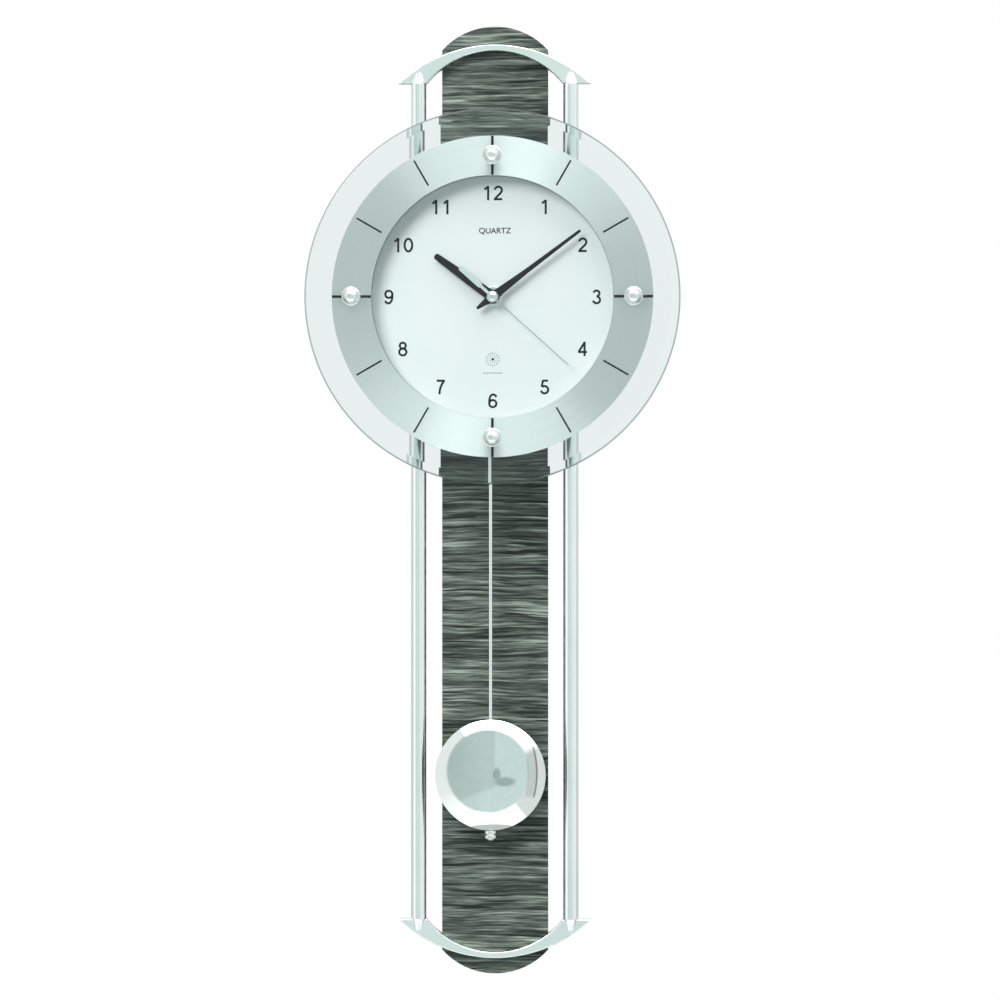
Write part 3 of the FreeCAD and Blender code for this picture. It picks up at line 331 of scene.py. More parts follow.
def silvered_hand():
    """Silver lacquer on the second hand, its needle coloured darker than its tail: painted shade
    along the thin needle.
    """
    material, tree, place = blank("silvered_hand")
    cloud = add(
        tree, "ShaderNodeTexNoise", {"Vector": place, "Scale": 1000 / 0.4, "Detail": 2.0}
    ).outputs["Fac"]
    along = add(tree, "ShaderNodeSeparateXYZ", {0: place}).outputs[0]
    # Mask of the painted shade: 0 on the tail, rising to 1 along the needle from 2 to 5 mm out in
    # x.
    needle = add(
        tree, "ShaderNodeMapRange", {"Value": along, "From Min": 2 * MM, "From Max": 5 * MM}
    ).outputs[0]
    # The tail's lacquer tones, and darker tones painted on the needle as shade.
    lacquer, needle_painted_shade = (
        add(tree, "ShaderNodeValToRGB", {"Fac": cloud}, stops=[(0.3, dark), (0.7, light)])
        for dark, light in (("#D3DEDC", "#E3EBE9"), ("#A3B0AC", "#B2BEBA"))
    )
    colour = add(
        tree,
        "ShaderNodeMix",
        {0: needle, 6: lacquer.outputs[0], 7: needle_painted_shade.outputs[0]},
        data_type="RGBA",
    ).outputs[2]
    bump = add(tree, "ShaderNodeBump", {"Height": cloud, "Distance": 0.001 * MM}).outputs[0]
    shader = add(
        tree,
        "ShaderNodeBsdfPrincipled",
        {"Base Color": colour, "Roughness": 0.36, "Metallic": 0.5, "Normal": bump},
    )
    add(tree, "ShaderNodeOutputMaterial", {"Surface": shader.outputs[0]})
    return material


materials = {
    "grey_veneer": grey_oak_veneer(),
    # Dyed fibreboard, sawn and sanded: a felt of short fibres.
    "board_core": grained("dyed_fibreboard", "#2A2724", "#4A4540", (0.75, 0.9), 0.9, 0.05,
                          ior=1.45, stretch=(0.35, 1, 1)),
    "hanger_steel": grained("zinc_plated_steel", "#A9ABA8", "#CBCDC9", (0.28, 0.42), 0.5, 0.004,
                            metallic=1.0),
    "screw_steel": grained("zinc_plated_screw", "#9EA09D", "#C4C6C3", (0.25, 0.38), 0.4, 0.003,
                           metallic=1.0),
    "bumper_rubber": grained("moulded_rubber", "#17181A", "#26282A", (0.75, 0.9), 0.5, 0.02,
                             ior=1.5),
    # Satin anodised aluminium casting: an even, pearly grey with a soft bead-blasted grain.
    "yoke_aluminium": grained("satin_anodised_casting", "#EAF2F0", "#F4FAF8", (0.2, 0.28), 0.35,
                              0.004, metallic=1.0),
    # Drawn tube, brushed along its length before anodising.
    "column_aluminium": grained("drawn_anodised_tube", "#EBF3F1", "#F7FBFA", (0.16, 0.24), 0.25,
                                0.002, metallic=1.0, stretch=(1, 1, 0.02)),
    "post_aluminium": grained("turned_aluminium_post", "#BFC6C5", "#DCE1E0", (0.25, 0.36), 0.2,
                              0.003, metallic=1.0),
    "carrier_plastic": grained("moulded_silver_grey_abs", "#9FABA8", "#AEB9B6", (0.45, 0.58),
                               0.5, 0.012, ior=1.53),
    # Matt white lacquer on sheet, with the faint mottle of a sprayed coat.
    "dial_white": grained("matt_white_lacquer", "#F6F7F7", "#FAFBFA", (0.6, 0.72), 0.6, 0.004,
                          ior=1.45, gloss=0.2),
    "ring_aluminium": turned_aluminium(),
    "clear_glass": float_glass(),
    "stud_steel": grained("plain_steel", "#A5A7A6", "#C6C8C7", (0.22, 0.34), 0.3, 0.002,
                          metallic=1.0),
    "washer_plastic": grained("clear_nylon", "#D8DCDB", "#E8ECEB", (0.35, 0.5), 0.5, 0.004,
                              ior=1.53),
    # Satin chrome on turned caps: soft enough to blur the room into a pearly white crown.
    "cap_chrome": grained("satin_chrome", "#D6DEDC", "#E0E7E5", (0.24, 0.30), 3.0, 0.0006,
                          metallic=1.0),
    "movement_plastic": grained("black_moulded_abs", "#101112", "#1B1C1E", (0.5, 0.62), 0.35,
                                0.02, ior=1.53),
    "bushing_brass": grained("turned_brass", "#C4A25A", "#DDBE78", (0.2, 0.32), 0.2, 0.003,
                             metallic=1.0),
    "nut_nickel": grained("nickel_plate", "#D0D3D2", "#E6E9E8", (0.08, 0.16), 0.6, 0.001,
                          metallic=1.0),
    "battery_sleeve": grained("printed_sleeve", "#20252C", "#2A3038", (0.25, 0.35), 1.5, 0.002,
                              ior=1.5, coat=0.4),
    "contact_steel": grained("nickel_strip", "#B9BAB6", "#D8D9D5", (0.2, 0.32), 0.3, 0.002,
                             metallic=1.0),
    "circuit_green": grained("solder_mask", "#12432A", "#1B5A38", (0.25, 0.4), 0.8, 0.01,
                             ior=1.55, coat=0.3),
    "component_black": grained("moulded_component", "#0E0E0F", "#1A1A1B", (0.45, 0.6), 0.3, 0.01,
                               ior=1.55),
    "stator_steel": grained("stamped_steel", "#7D7F7F", "#A2A4A4", (0.3, 0.45), 0.3, 0.004,
                            metallic=1.0),
    "coil_copper": grained("enamelled_copper_wire", "#8E4523", "#C0703F", (0.22, 0.35), 0.2, 0.05,
                           metallic=1.0, stretch=(0.05, 1, 1)),
    "ferrite_grey": grained("sintered_ferrite", "#1E1F21", "#313336", (0.55, 0.7), 0.3, 0.01),
    # The second hand: silver lacquer, with painted shade darkening its needle.
    "second_hand_silver": silvered_hand(),
    "wheel_plastic": grained("moulded_acetal", "#DAD8CC", "#E8E6DC", (0.35, 0.48), 0.4, 0.003,
                             ior=1.48),
    "rotor_magnet": grained("bonded_magnet", "#232427", "#37393D", (0.4, 0.55), 0.3, 0.005),
    # Black stoved lacquer on stamped sheet, satin.
    "hand_black": grained("black_satin_lacquer", "#0B0E10", "#13171A", (0.4, 0.5), 0.4, 0.001,
                          ior=1.5, gloss=0.08),
    "button_plastic": grained("grey_moulded_abs", "#8C9090", "#A3A7A6", (0.4, 0.55), 0.3, 0.006,
                              ior=1.53),
    "lever_plastic": grained("black_acetal", "#111214", "#1D1E20", (0.38, 0.5), 0.4, 0.006,
                             ior=1.48),
    "magnet_nickel": grained("nickel_plated_magnet", "#B8BABA", "#D4D6D6", (0.12, 0.2), 0.5,
                             0.001, metallic=1.0),
    # Drawn steel rod, polished: streaks run along it.
    "rod_steel": grained("polished_steel_rod", "#EDF3F1", "#F8FBFA", (0.12, 0.2), 0.2, 0.001,
                         metallic=1.0, stretch=(1, 1, 0.03)),
    # Spun brass, polished and chromed: it mirrors the room, with a faint ripple left by spinning.
    "bob_chrome": grained("chromed_spun_brass", "#D0D9D6", "#DAE2DF", (0.02, 0.045), 4.0, 0.0008,
                          metallic=1.0),
    "bob_back_steel": grained("plain_steel_disc", "#8F9191", "#B4B6B5", (0.3, 0.45), 0.5, 0.003,
                              metallic=1.0),
    "nut_chrome": grained("chromed_nut", "#DDE2E1", "#EBEFEE", (0.05, 0.1), 1.0, 0.001,
                          metallic=1.0),
}
# Screen-printed black ink, slightly open at its edges.
ink = grained("printed_ink", "#060809", "#0F1213", (0.5, 0.65), 0.25, 0.004, ior=1.48,
              gloss=0.05)
grey_ink = grained("printed_grey_ink", "#7C8986", "#8F9C98", (0.5, 0.65), 0.25, 0.004, ior=1.48,
                   gloss=0.05)


# ---- mesh helpers --------------------------------------------------------------------------
def placed(name, data):
    """A new object in the scene."""
    made = bpy.data.objects.new(name, data)
    bpy.context.scene.collection.objects.link(made)
    return made


def applied(made):
    """A new mesh of what an object is with its modifiers, or of what a text spells."""
    bpy.context.view_layer.update()
    seen = made.evaluated_get(bpy.context.evaluated_depsgraph_get())
    return bpy.data.meshes.new_from_object(seen)


def piece(name, mesh, material, *nodes, body=None, slot=None):
    """Puts a finished mesh in the scene, on its nodes' body and in its nodes' place."""
    mesh.name = name
    mesh.materials.clear()
    mesh.materials.append(material)
    made = placed(name, mesh)
    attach(made, body or body_of_node[nodes[0]])
    if nodes:
        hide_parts(*nodes)
    return made


def keep_flats_flat(made):
    """Vertex normals follow the larger faces, so flat faces stay flat between soft edges."""
    weighted = made.modifiers.new("flat faces", "WEIGHTED_NORMAL")
    weighted.keep_sharp = True
    weighted.weight = 80


def softened(made, width):
    """Rounds the sharp edges by width, as tumbling, polishing or paint does."""
    bevel = made.modifiers.new("soft edges", "BEVEL")
    bevel.width = width
    bevel.segments = 3
    bevel.limit_method = "ANGLE"
    bevel.angle_limit = math.radians(38)
    bevel.use_clamp_overlap = True
    keep_flats_flat(made)


def refined(node, width):
    """A node's own shape, its triangles merged, its curves shaded smooth and its edges soft."""
    mesh = frame["nodes"][node].data.copy()
    bm = bmesh.new()
    bm.from_mesh(mesh)
    bmesh.ops.remove_doubles(bm, verts=bm.verts, dist=0.002 * MM)
    bmesh.ops.dissolve_limit(bm, angle_limit=math.radians(0.5), verts=bm.verts, edges=bm.edges)
    bm.to_mesh(mesh)
    bm.free()
    mesh.shade_smooth()
    mesh.set_sharp_from_angle(angle=math.radians(32))
    softened(piece(node + "_finished", mesh, materials[slot_of_node[node]], node), width)


def eased(profile, radius, steps=3):
    """A closed profile with each corner off the axis rounded by a small arc."""
    rounded = []
    count = len(profile)
    for i, here in enumerate(profile):
        corner = Vector(here)
        if corner.x < 1e-9:
            rounded.append(corner)
            continue
        before, after = Vector(profile[i - 1]), Vector(profile[(i + 1) % count])
        cut = min(radius, (before - corner).length * 0.45, (after - corner).length * 0.45)
        start = corner + (before - corner).normalized() * cut
        end = corner + (after - corner).normalized() * cut
        for step in range(steps + 1):
            t = step / steps
            rounded.append(start * (1 - t) ** 2 + corner * 2 * t * (1 - t) + end * t**2)
    return rounded


def turned(profile, segments):
    """A closed mesh turned about +Z from (radius, height) points, with a UV map named turn."""
    bm = bmesh.new()
    uv = bm.loops.layers.uv.new("turn")
    rings = []
    for point in profile:
        if point[0] < 1e-9:
            rings.append([bm.verts.new((0, 0, point[1]))])
        else:
            angles = [2 * math.pi * n / segments for n in range(segments)]
            rings.append(
                [bm.verts.new((point[0] * math.cos(a), point[0] * math.sin(a), point[1]))
                 for a in angles]
            )
    lengths = [0.0]
    for a, b in zip(profile, profile[1:] + profile[:1]):
        lengths.append(lengths[-1] + (Vector(b) - Vector(a)).length)
    pairs = list(zip(range(len(rings)), list(range(1, len(rings))) + [0]))
    for k, (i, j) in enumerate(pairs):
        low, high = rings[i], rings[j]
        if len(low) == 1 and len(high) == 1:
            continue
        v_low, v_high = lengths[k], lengths[k + 1]
        for n in range(segments):
            m = (n + 1) % segments
            u, w = n / segments, (n + 1) / segments
            if len(low) == 1:
                corners = [(low[0], (u, v_low)), (high[m], (w, v_high)), (high[n], (u, v_high))]
            elif len(high) == 1:
                corners = [(low[n], (u, v_low)), (low[m], (w, v_low)), (high[0], (u, v_high))]
            else:
                corners = [
                    (low[n], (u, v_low)),
                    (low[m], (w, v_low)),
                    (high[m], (w, v_high)),
                    (high[n], (u, v_high)),
                ]
            face = bm.faces.new([vert for vert, _ in corners])
            for loop, (_, place) in zip(face.loops, corners):
                loop[uv].uv = (place[0], place[1] / MM / 100)
    bmesh.ops.recalc_face_normals(bm, faces=bm.faces)
    mesh = bpy.data.meshes.new("turned")
    bm.to_mesh(mesh)
    bm.free()
    mesh.shade_smooth()
    mesh.set_sharp_from_angle(angle=math.radians(50))
    return mesh


# Turns +Z to -Y, so that a height becomes a depth out from the wall.
facing = Matrix.Rotation(math.radians(90), 4, "X")


def out_of_wall(mesh, x, z):
    """Moves a mesh turned about +Z so that its axis points out from the wall at (x, z)."""
    mesh.transform(Matrix.Translation((x, 0, z)) @ facing)
    return mesh


def remove(*objects):
    """Takes workpieces and templates out of the scene."""
    for o in objects:
        bpy.data.objects.remove(o)


# ---- glass, ring, dial, caps ---------------------------------------------------------------
def make_glass():
    """The pane, bevelled on its front edge, with a hole drilled for each of its four studs."""
    bevel_width, bevel_drop, stud_hole = 6.3 * MM, 1.5 * MM, 2.5 * MM
    profile = [
        (0.0, glass_back),
        (glass_radius, glass_back),
        (glass_radius, glass_front - bevel_drop),
        (glass_radius - bevel_width, glass_front),
        (0.0, glass_front),
    ]
    blank_pane = out_of_wall(turned(eased(profile, 0.25 * MM, 2), 256), 0, axis_z)
    workpiece = placed("workpiece", blank_pane)
    drills = []
    for quarter in range(4):
        angle = math.pi / 2 * quarter
        x, z = stud_circle * math.sin(angle), axis_z + stud_circle * math.cos(angle)
        hole = [(0.0, glass_back - MM), (stud_hole, glass_back - MM),
                (stud_hole, glass_front + MM), (0.0, glass_front + MM)]
        drill = placed("drill", out_of_wall(turned(hole, 32), x, z))
        cut = workpiece.modifiers.new("hole", "BOOLEAN")
        cut.object = drill
        cut.solver = "EXACT"
        drills.append(drill)
    drilled = applied(workpiece)
    drilled.shade_smooth()
    drilled.set_sharp_from_angle(angle=math.radians(6))
    remove(workpiece, *drills)
    piece("bevelled_glass", drilled, materials["clear_glass"], "glass_pane")


def make_ring():
    """The flat numeral ring, its edges barely broken."""
    profile = [
        (ring_hole, ring_back),
        (ring_radius, ring_back),
        (ring_radius, ring_front),
        (ring_hole, ring_front),
    ]
    sheet = out_of_wall(turned(eased(profile, 0.12 * MM, 2), 256), 0, axis_z)
    keep_flats_flat(piece("numeral_ring", sheet, materials["ring_aluminium"], "dial_ring"))


def make_dial():
    """The dial sheet, with its hole for the centre bushing."""
    hole = 4.1 * MM
    profile = [
        (hole, dial_back),
        (dial_radius, dial_back),
        (dial_radius, dial_front),
        (hole, dial_front),
    ]
    sheet = out_of_wall(turned(eased(profile, 0.08 * MM, 2), 192), 0, axis_z)
    keep_flats_flat(piece("dial_sheet", sheet, materials["dial_white"], "dial_plate"))


def dome_profile(radius, back, front, land, flange=0.0):
    """A domed cap nut: a land, or a thin flange and a groove, under a spherical crown."""
    steps = 18
    points = [(0.0, back), (radius - 0.15 * MM, back), (radius, back + 0.15 * MM)]
    if flange:
        points += [(radius, back + 0.5 * MM), (radius - 0.15 * MM, back + 0.65 * MM)]
        points += [(radius - flange - 0.2 * MM, back + 0.75 * MM)]
    radius -= flange
    crown = front - back - land
    ball = (radius**2 + crown**2) / (2 * crown)
    widest = math.asin(min(radius / ball, 1.0))
    for n in range(steps + 1):
        a = widest * (1 - n / steps)
        points.append((ball * math.sin(a), front - ball + ball * math.cos(a)))
    return points


# ---- pieces placed round a circle ----------------------------------------------------------
def circle_tree():
    """Geometry Nodes that set copies of a template round the dial's centre, facing outwards."""
    tree = bpy.data.node_groups.new("round_the_dial", "GeometryNodeTree")
    sockets = {}
    for name, kind in (
        ("Template", "NodeSocketObject"),
        ("Count", "NodeSocketInt"),
        ("Radius", "NodeSocketFloat"),
        ("Height", "NodeSocketFloat"),
        ("Step", "NodeSocketInt"),
        ("On step", "NodeSocketBool"),
        ("Material", "NodeSocketMaterial"),
    ):
        sockets[name] = tree.interface.new_socket(name, in_out="INPUT", socket_type=kind)
    tree.interface.new_socket("Geometry", in_out="OUTPUT", socket_type="NodeSocketGeometry")
    given = add(tree, "NodeGroupInput").outputs
    index = add(tree, "GeometryNodeInputIndex").outputs[0]
    share = add(tree, "ShaderNodeMath", {0: index, 1: given["Count"]}, operation="DIVIDE")
    angle = add(
        tree, "ShaderNodeMath", {0: share.outputs[0], 1: 2 * math.pi}, operation="MULTIPLY"
    ).outputs[0]
    sine = add(tree, "ShaderNodeMath", {0: angle}, operation="SINE").outputs[0]
    cosine = add(tree, "ShaderNodeMath", {0: angle}, operation="COSINE").outputs[0]
    x = add(tree, "ShaderNodeMath", {0: sine, 1: given["Radius"]}, operation="MULTIPLY")
    z = add(
        tree,
        "ShaderNodeMath",
        {0: cosine, 1: given["Radius"], 2: given["Height"]},
        operation="MULTIPLY_ADD",
    )
    place = add(tree, "ShaderNodeCombineXYZ", {0: x.outputs[0], 2: z.outputs[0]}).outputs[0]
    points = add(tree, "GeometryNodePoints", {"Count": given["Count"], "Position": place})
    rest = add(
        tree, "ShaderNodeMath", {0: index, 1: given["Step"]}, operation="MODULO"
    ).outputs[0]
    on_step = add(
        tree, "FunctionNodeCompare", {0: rest, 1: 0.5}, data_type="FLOAT", operation="LESS_THAN"
    ).outputs[0]
    chosen = add(
        tree, "FunctionNodeBooleanMath", {0: on_step, 1: given["On step"]}, operation="XNOR"
    ).outputs[0]
    turn = add(tree, "ShaderNodeCombineXYZ", {1: angle}).outputs[0]
    rotation = add(tree, "FunctionNodeEulerToRotation", {0: turn}).outputs[0]
    template = add(tree, "GeometryNodeObjectInfo", {"Object": given["Template"]})
    copies = add(
        tree,
        "GeometryNodeInstanceOnPoints",
        {
            "Points": points.outputs[0],
            "Selection": chosen,
            "Instance": template.outputs["Geometry"],
            "Rotation": rotation,
        },
    ).outputs[0]
    real = add(tree, "GeometryNodeRealizeInstances", {0: copies}).outputs[0]
    painted = add(
        tree, "GeometryNodeSetMaterial", {"Geometry": real, "Material": given["Material"]}
    ).outputs[0]
    add(tree, "NodeGroupOutput", {0: painted})
    return tree, {name: socket.identifier for name, socket in sockets.items()}


round_the_dial, dial_inputs = circle_tree()


def round_dial(name, template_mesh, material, radius, count, step, on_step, *nodes, **where):
    """Copies of a template round the dial's centre, as one plain mesh.

    Of count even places, those that step divides are filled, or the others if on_step is False.
    """
    template = placed("template", template_mesh)
    holder = placed("holder", bpy.data.meshes.new("holder"))
    growth = holder.modifiers.new("round the dial", "NODES")
    growth.node_group = round_the_dial
    values = {
        "Template": template,
        "Count": count,
        "Radius": radius,
        "Height": axis_z,
        "Step": step,
        "On step": on_step,
        "Material": material,
    }
    for key, value in values.items():
        growth[dial_inputs[key]] = value
    mesh = applied(holder)
    remove(holder, template)
    piece(name, mesh, material, *nodes, **where)


def make_caps():
    """The four cap nuts that hold the glass."""
    land, flange = 1.0 * MM, 0.7 * MM
    dome = turned(dome_profile(cap_radius, cap_back, cap_front, land, flange), 64)
    dome.transform(facing)
    round_dial("domed_caps", dome, materials["cap_chrome"], stud_circle, 4, 1, True, "glass_caps")


# ---- printing ------------------------------------------------------------------------------
ink_thickness = 0.04 * MM


def band(points, width, front, closed=False):
    """A flat printed line of even width along (x, z) points, as a thin closed solid."""
    bm = bmesh.new()
    count = len(points)
    spots = [Vector(p) for p in points]
    rails = []
    for i, here in enumerate(spots):
        before = spots[i - 1] if i or closed else here
        after = spots[(i + 1) % count] if i < count - 1 or closed else here
        into = (here - before).normalized() if (here - before).length else None
        out = (after - here).normalized() if (after - here).length else None
        into, out = into or out, out or into
        side = Vector((-(into + out).y, (into + out).x)).normalized()
        stretch = 1 / max(side.dot(Vector((-into.y, into.x))), 0.5)
        reach = side * width / 2 * stretch
        rails.append(
            [
                bm.verts.new((p.x, -depth, p.y))
                for p in (here - reach, here + reach)
                for depth in (front, front + ink_thickness)
            ]
        )
    joins = list(zip(rails, rails[1:] + rails[:1])) if closed else list(zip(rails, rails[1:]))
    for a, b in joins:
        for p, q in ((0, 1), (1, 3), (3, 2), (2, 0)):
            bm.faces.new((a[p], a[q], b[q], b[p]))
    if not closed:
        for end in (rails[0], rails[-1]):
            bm.faces.new((end[0], end[1], end[3], end[2]))
    bmesh.ops.recalc_face_normals(bm, faces=bm.faces)
    mesh = bpy.data.meshes.new("band")
    bm.to_mesh(mesh)
    bm.free()
    return mesh


def joined(meshes):
    """Several meshes as one."""
    bm = bmesh.new()
    for mesh in meshes:
        bm.from_mesh(mesh)
        bpy.data.meshes.remove(mesh)
    whole = bpy.data.meshes.new("joined")
    bm.to_mesh(whole)
    bm.free()
    return whole


def oval(cx, cz, rx, rz, start=0.0, end=360.0, steps=24):
    """Points on an oval, from start to end in degrees anticlockwise from its right-hand side."""
    angles = [math.radians(start + (end - start) * n / steps) for n in range(steps + 1)]
    return [(cx + rx * math.cos(a), cz + rz * math.sin(a)) for a in angles]


# Each stroke of each digit, in heights of the digit, and whether it closes on itself.
stroke = 0.15
half_stroke = stroke / 2
digit_shapes = {
    "0": [(oval(0.33, 0.5, 0.262, 0.436)[:-1], True)],
    "1": [([(0.40, 0.0), (0.40, 1.0)], False),
          ([(0.36, 0.935), (0.28, 0.84), (0.14, 0.745)], False)],
    "2": [(oval(0.33, 0.70, 0.245, 0.236, 172, -20, 16)
           + [(0.47, 0.48), (0.25, 0.27), (0.13, 0.14), (0.09, half_stroke)], False),
          ([(0.02, half_stroke), (0.60, half_stroke)], False)],
    "3": [(oval(0.32, 0.735, 0.205, 0.20, 165, -80, 16), False),
          (oval(0.32, 0.295, 0.245, 0.235, 88, -168, 20), False)],
    "4": [([(0.455, 0.0), (0.455, 1.0)], False),
          ([(0.47, 0.96), (0.045, 0.30)], False),
          ([(0.01, 0.285), (0.62, 0.285)], False)],
    "5": [([(0.56, 0.935), (0.185, 0.935)], False),
          ([(0.205, 0.96), (0.125, 0.50)], False),
          (oval(0.32, 0.31, 0.25, 0.25, 132, -165, 22), False)],
    "6": [(oval(0.335, 0.305, 0.245, 0.245)[:-1], True),
          ([(0.09, 0.34), (0.095, 0.56), (0.15, 0.78), (0.24, 0.89), (0.34, 0.935),
            (0.45, 0.915), (0.54, 0.84), (0.565, 0.75)], False)],
    "7": [([(0.04, 0.935), (0.60, 0.935)], False),
          ([(0.58, 0.94), (0.43, 0.74), (0.32, 0.50), (0.26, 0.26), (0.235, 0.0)], False)],
    "8": [(oval(0.33, 0.735, 0.205, 0.202)[:-1], True),
          (oval(0.33, 0.295, 0.25, 0.235)[:-1], True)],
    "9": [(oval(0.315, 0.695, 0.245, 0.245)[:-1], True),
          ([(0.56, 0.66), (0.555, 0.44), (0.50, 0.22), (0.41, 0.11), (0.31, 0.065),
            (0.20, 0.085), (0.11, 0.16), (0.085, 0.25)], False)],
}


def number_meshes(text, x, z, height):
    """One dial numeral, upright and centred on (x, z)."""
    digit_width, advance = 0.66 * height, 0.775 * height
    total = advance * (len(text) - 1) + digit_width
    made = []
    for place, digit in enumerate(text):
        left = x - total / 2 + advance * place
        for points, closed in digit_shapes[digit]:
            spots = [(left + px * height, z + (pz - 0.5) * height) for px, pz in points]
            made.append(band(spots, stroke * height, dial_front, closed))
    return made


def make_printing():
    """The numerals on the dial, and the hour ticks and the quarters' bars on the ring."""
    numeral_circle, numeral_height = 73.2 * MM, 10.2 * MM
    tick_circle, half_tick, tick_width = 100.2 * MM, 10.2 * MM, 1.25 * MM
    bar_margin, bar_width = 0.15 * MM, 1.9 * MM
    parts = []
    for hour in range(1, 13):
        angle = math.radians(30 * hour)
        x, z = numeral_circle * math.sin(angle), axis_z + numeral_circle * math.cos(angle)
        parts += number_meshes(str(hour), x, z, numeral_height)
    piece("dial_numerals", joined(parts), ink, body="clock_case", slot="hand_black")
    tick = band([(0, -half_tick), (0, half_tick)], tick_width, ring_front)
    round_dial("hour_ticks", tick, ink, tick_circle, 12, 3, False, body="clock_case",
               slot="hand_black")
    half_bar = (ring_radius - ring_hole) / 2 - bar_margin
    bar = band([(0, -half_bar), (0, half_bar)], bar_width, ring_front)
    round_dial("quarter_bars", bar, ink, (ring_radius + ring_hole) / 2, 12, 3, True,
               body="clock_case", slot="hand_black")


def flat_text(words, size, x, z, material, name):
    """A line of small printed capitals centred on (x, z)."""
    curve = bpy.data.curves.new(name, "FONT")
    curve.body = words
    curve.size = size
    curve.align_x = "CENTER"
    curve.align_y = "CENTER"
    curve.extrude = ink_thickness / 2
    curve.offset = 0.07 * MM  # the ink's spread
    writer = placed(name, curve)
    mesh = applied(writer)
    remove(writer)
    place = Matrix.Translation((x, -dial_front - ink_thickness / 2, z))
    mesh.transform(place @ Matrix.Rotation(math.radians(90), 4, "X"))
    piece(name, mesh, material, body="clock_case", slot="hand_black")


def make_small_print():
    """A plain word above the centre, and a rosette over a row of dashes below it."""
    flat_text("QUARTZ", 5.6 * MM, 1.5 * MM, axis_z + 46.5 * MM, ink, "dial_word")
    z, fine_line = axis_z - 44.0 * MM, 0.45 * MM
    rays = []
    for count, inner, outer in ((18, 3.7, 5.0), (10, 1.9, 2.8)):
        for n in range(count):
            a = 2 * math.pi * n / count
            ends = [(r * MM * math.sin(a), z + r * MM * math.cos(a)) for r in (inner, outer)]
            rays.append(band(ends, fine_line, dial_front))
    piece("dial_rosette", joined(rays), grey_ink, body="clock_case", slot="hand_black")
    dot = [band(oval(0, z, 0.5 * MM, 0.5 * MM)[:-1], 0.9 * MM, dial_front, True)]
    dash, dash_z = 1.5, z - 9.6 * MM
    dashes = [
        band([(x * MM, dash_z), ((x + dash) * MM, dash_z)], fine_line, dial_front)
        for x in (-6.75, -4.75, -2.75, -0.75, 1.25, 3.25, 5.25)
    ]
    piece("dial_small_marks", joined(dot + dashes), ink, body="clock_case", slot="hand_black")


# ---- hands ---------------------------------------------------------------------------------
def make_hands():
    """The three stamped hands and the cap over them."""
    refined("hour_hand", 0.12 * MM)
    refined("minute_hand", 0.12 * MM)
    refined("second_hand", 0.08 * MM)
    x, z, back, front, radius = middle("second_hand_cap")
    button = turned(dome_profile(radius, back, front, 1.4 * MM), 64)
    piece("hand_cap", out_of_wall(button, x, z), materials["cap_chrome"], "second_hand_cap")


# ---- columns, pendulum ---------------------------------------------------------------------
def make_columns():
    """The two tubes beside the board."""
    for node in ("left_column", "right_column"):
        low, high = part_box(node)
        radius = (high.x - low.x) / 2
        bore = radius - 1.0 * MM
        profile = [(bore, low.z), (radius, low.z), (radius, high.z), (bore, high.z)]
        tube = turned(eased(profile, 0.2 * MM), 96)
        tube.transform(Matrix.Translation(((low.x + high.x) / 2, (low.y + high.y) / 2, 0)))
        keep_flats_flat(piece(node + "_tube", tube, materials["column_aluminium"], node))


def make_bob():
    """The bob's spun shell, its back disc and guide, and the rod and nut that carry it."""
    x, z, back, front, radius = middle("bob_dome")
    lip, skin, ease, steps = 1.5 * MM, 0.8 * MM, 0.2 * MM, 48
    rise = front - back - lip
    ball = (radius**2 + rise**2) / (2 * rise)
    hollow = ball - skin
    centre = front - ball
    widest_out, widest_in = math.asin(radius / ball), math.asin((radius - skin) / hollow)
    profile = [
        (radius - skin, back + ease), (radius - skin + ease, back),
        (radius - ease, back), (radius, back + ease),
    ]
    for n in range(steps, -1, -1):
        a = widest_out * n / steps
        profile.append((ball * math.sin(a), centre + ball * math.cos(a)))
    for n in range(steps + 1):
        a = widest_in * n / steps
        profile.append((hollow * math.sin(a), centre + hollow * math.cos(a)))
    dome = out_of_wall(turned(profile, 192), x, z)
    piece("bob_shell", dome, materials["bob_chrome"], "bob_dome")
    x, z, back, front, radius = middle("bob_back")
    disc = [(0.0, back), (radius, back), (radius, front), (0.0, front)]
    plate = out_of_wall(turned(eased(disc, 0.15 * MM), 128), x, z)
    keep_flats_flat(piece("bob_back_disc", plate, materials["bob_back_steel"], "bob_back"))
    refined("bob_guide", 0.15 * MM)
    refined("pendulum_rod", 0.1 * MM)
    refined("rating_nut", 0.18 * MM)


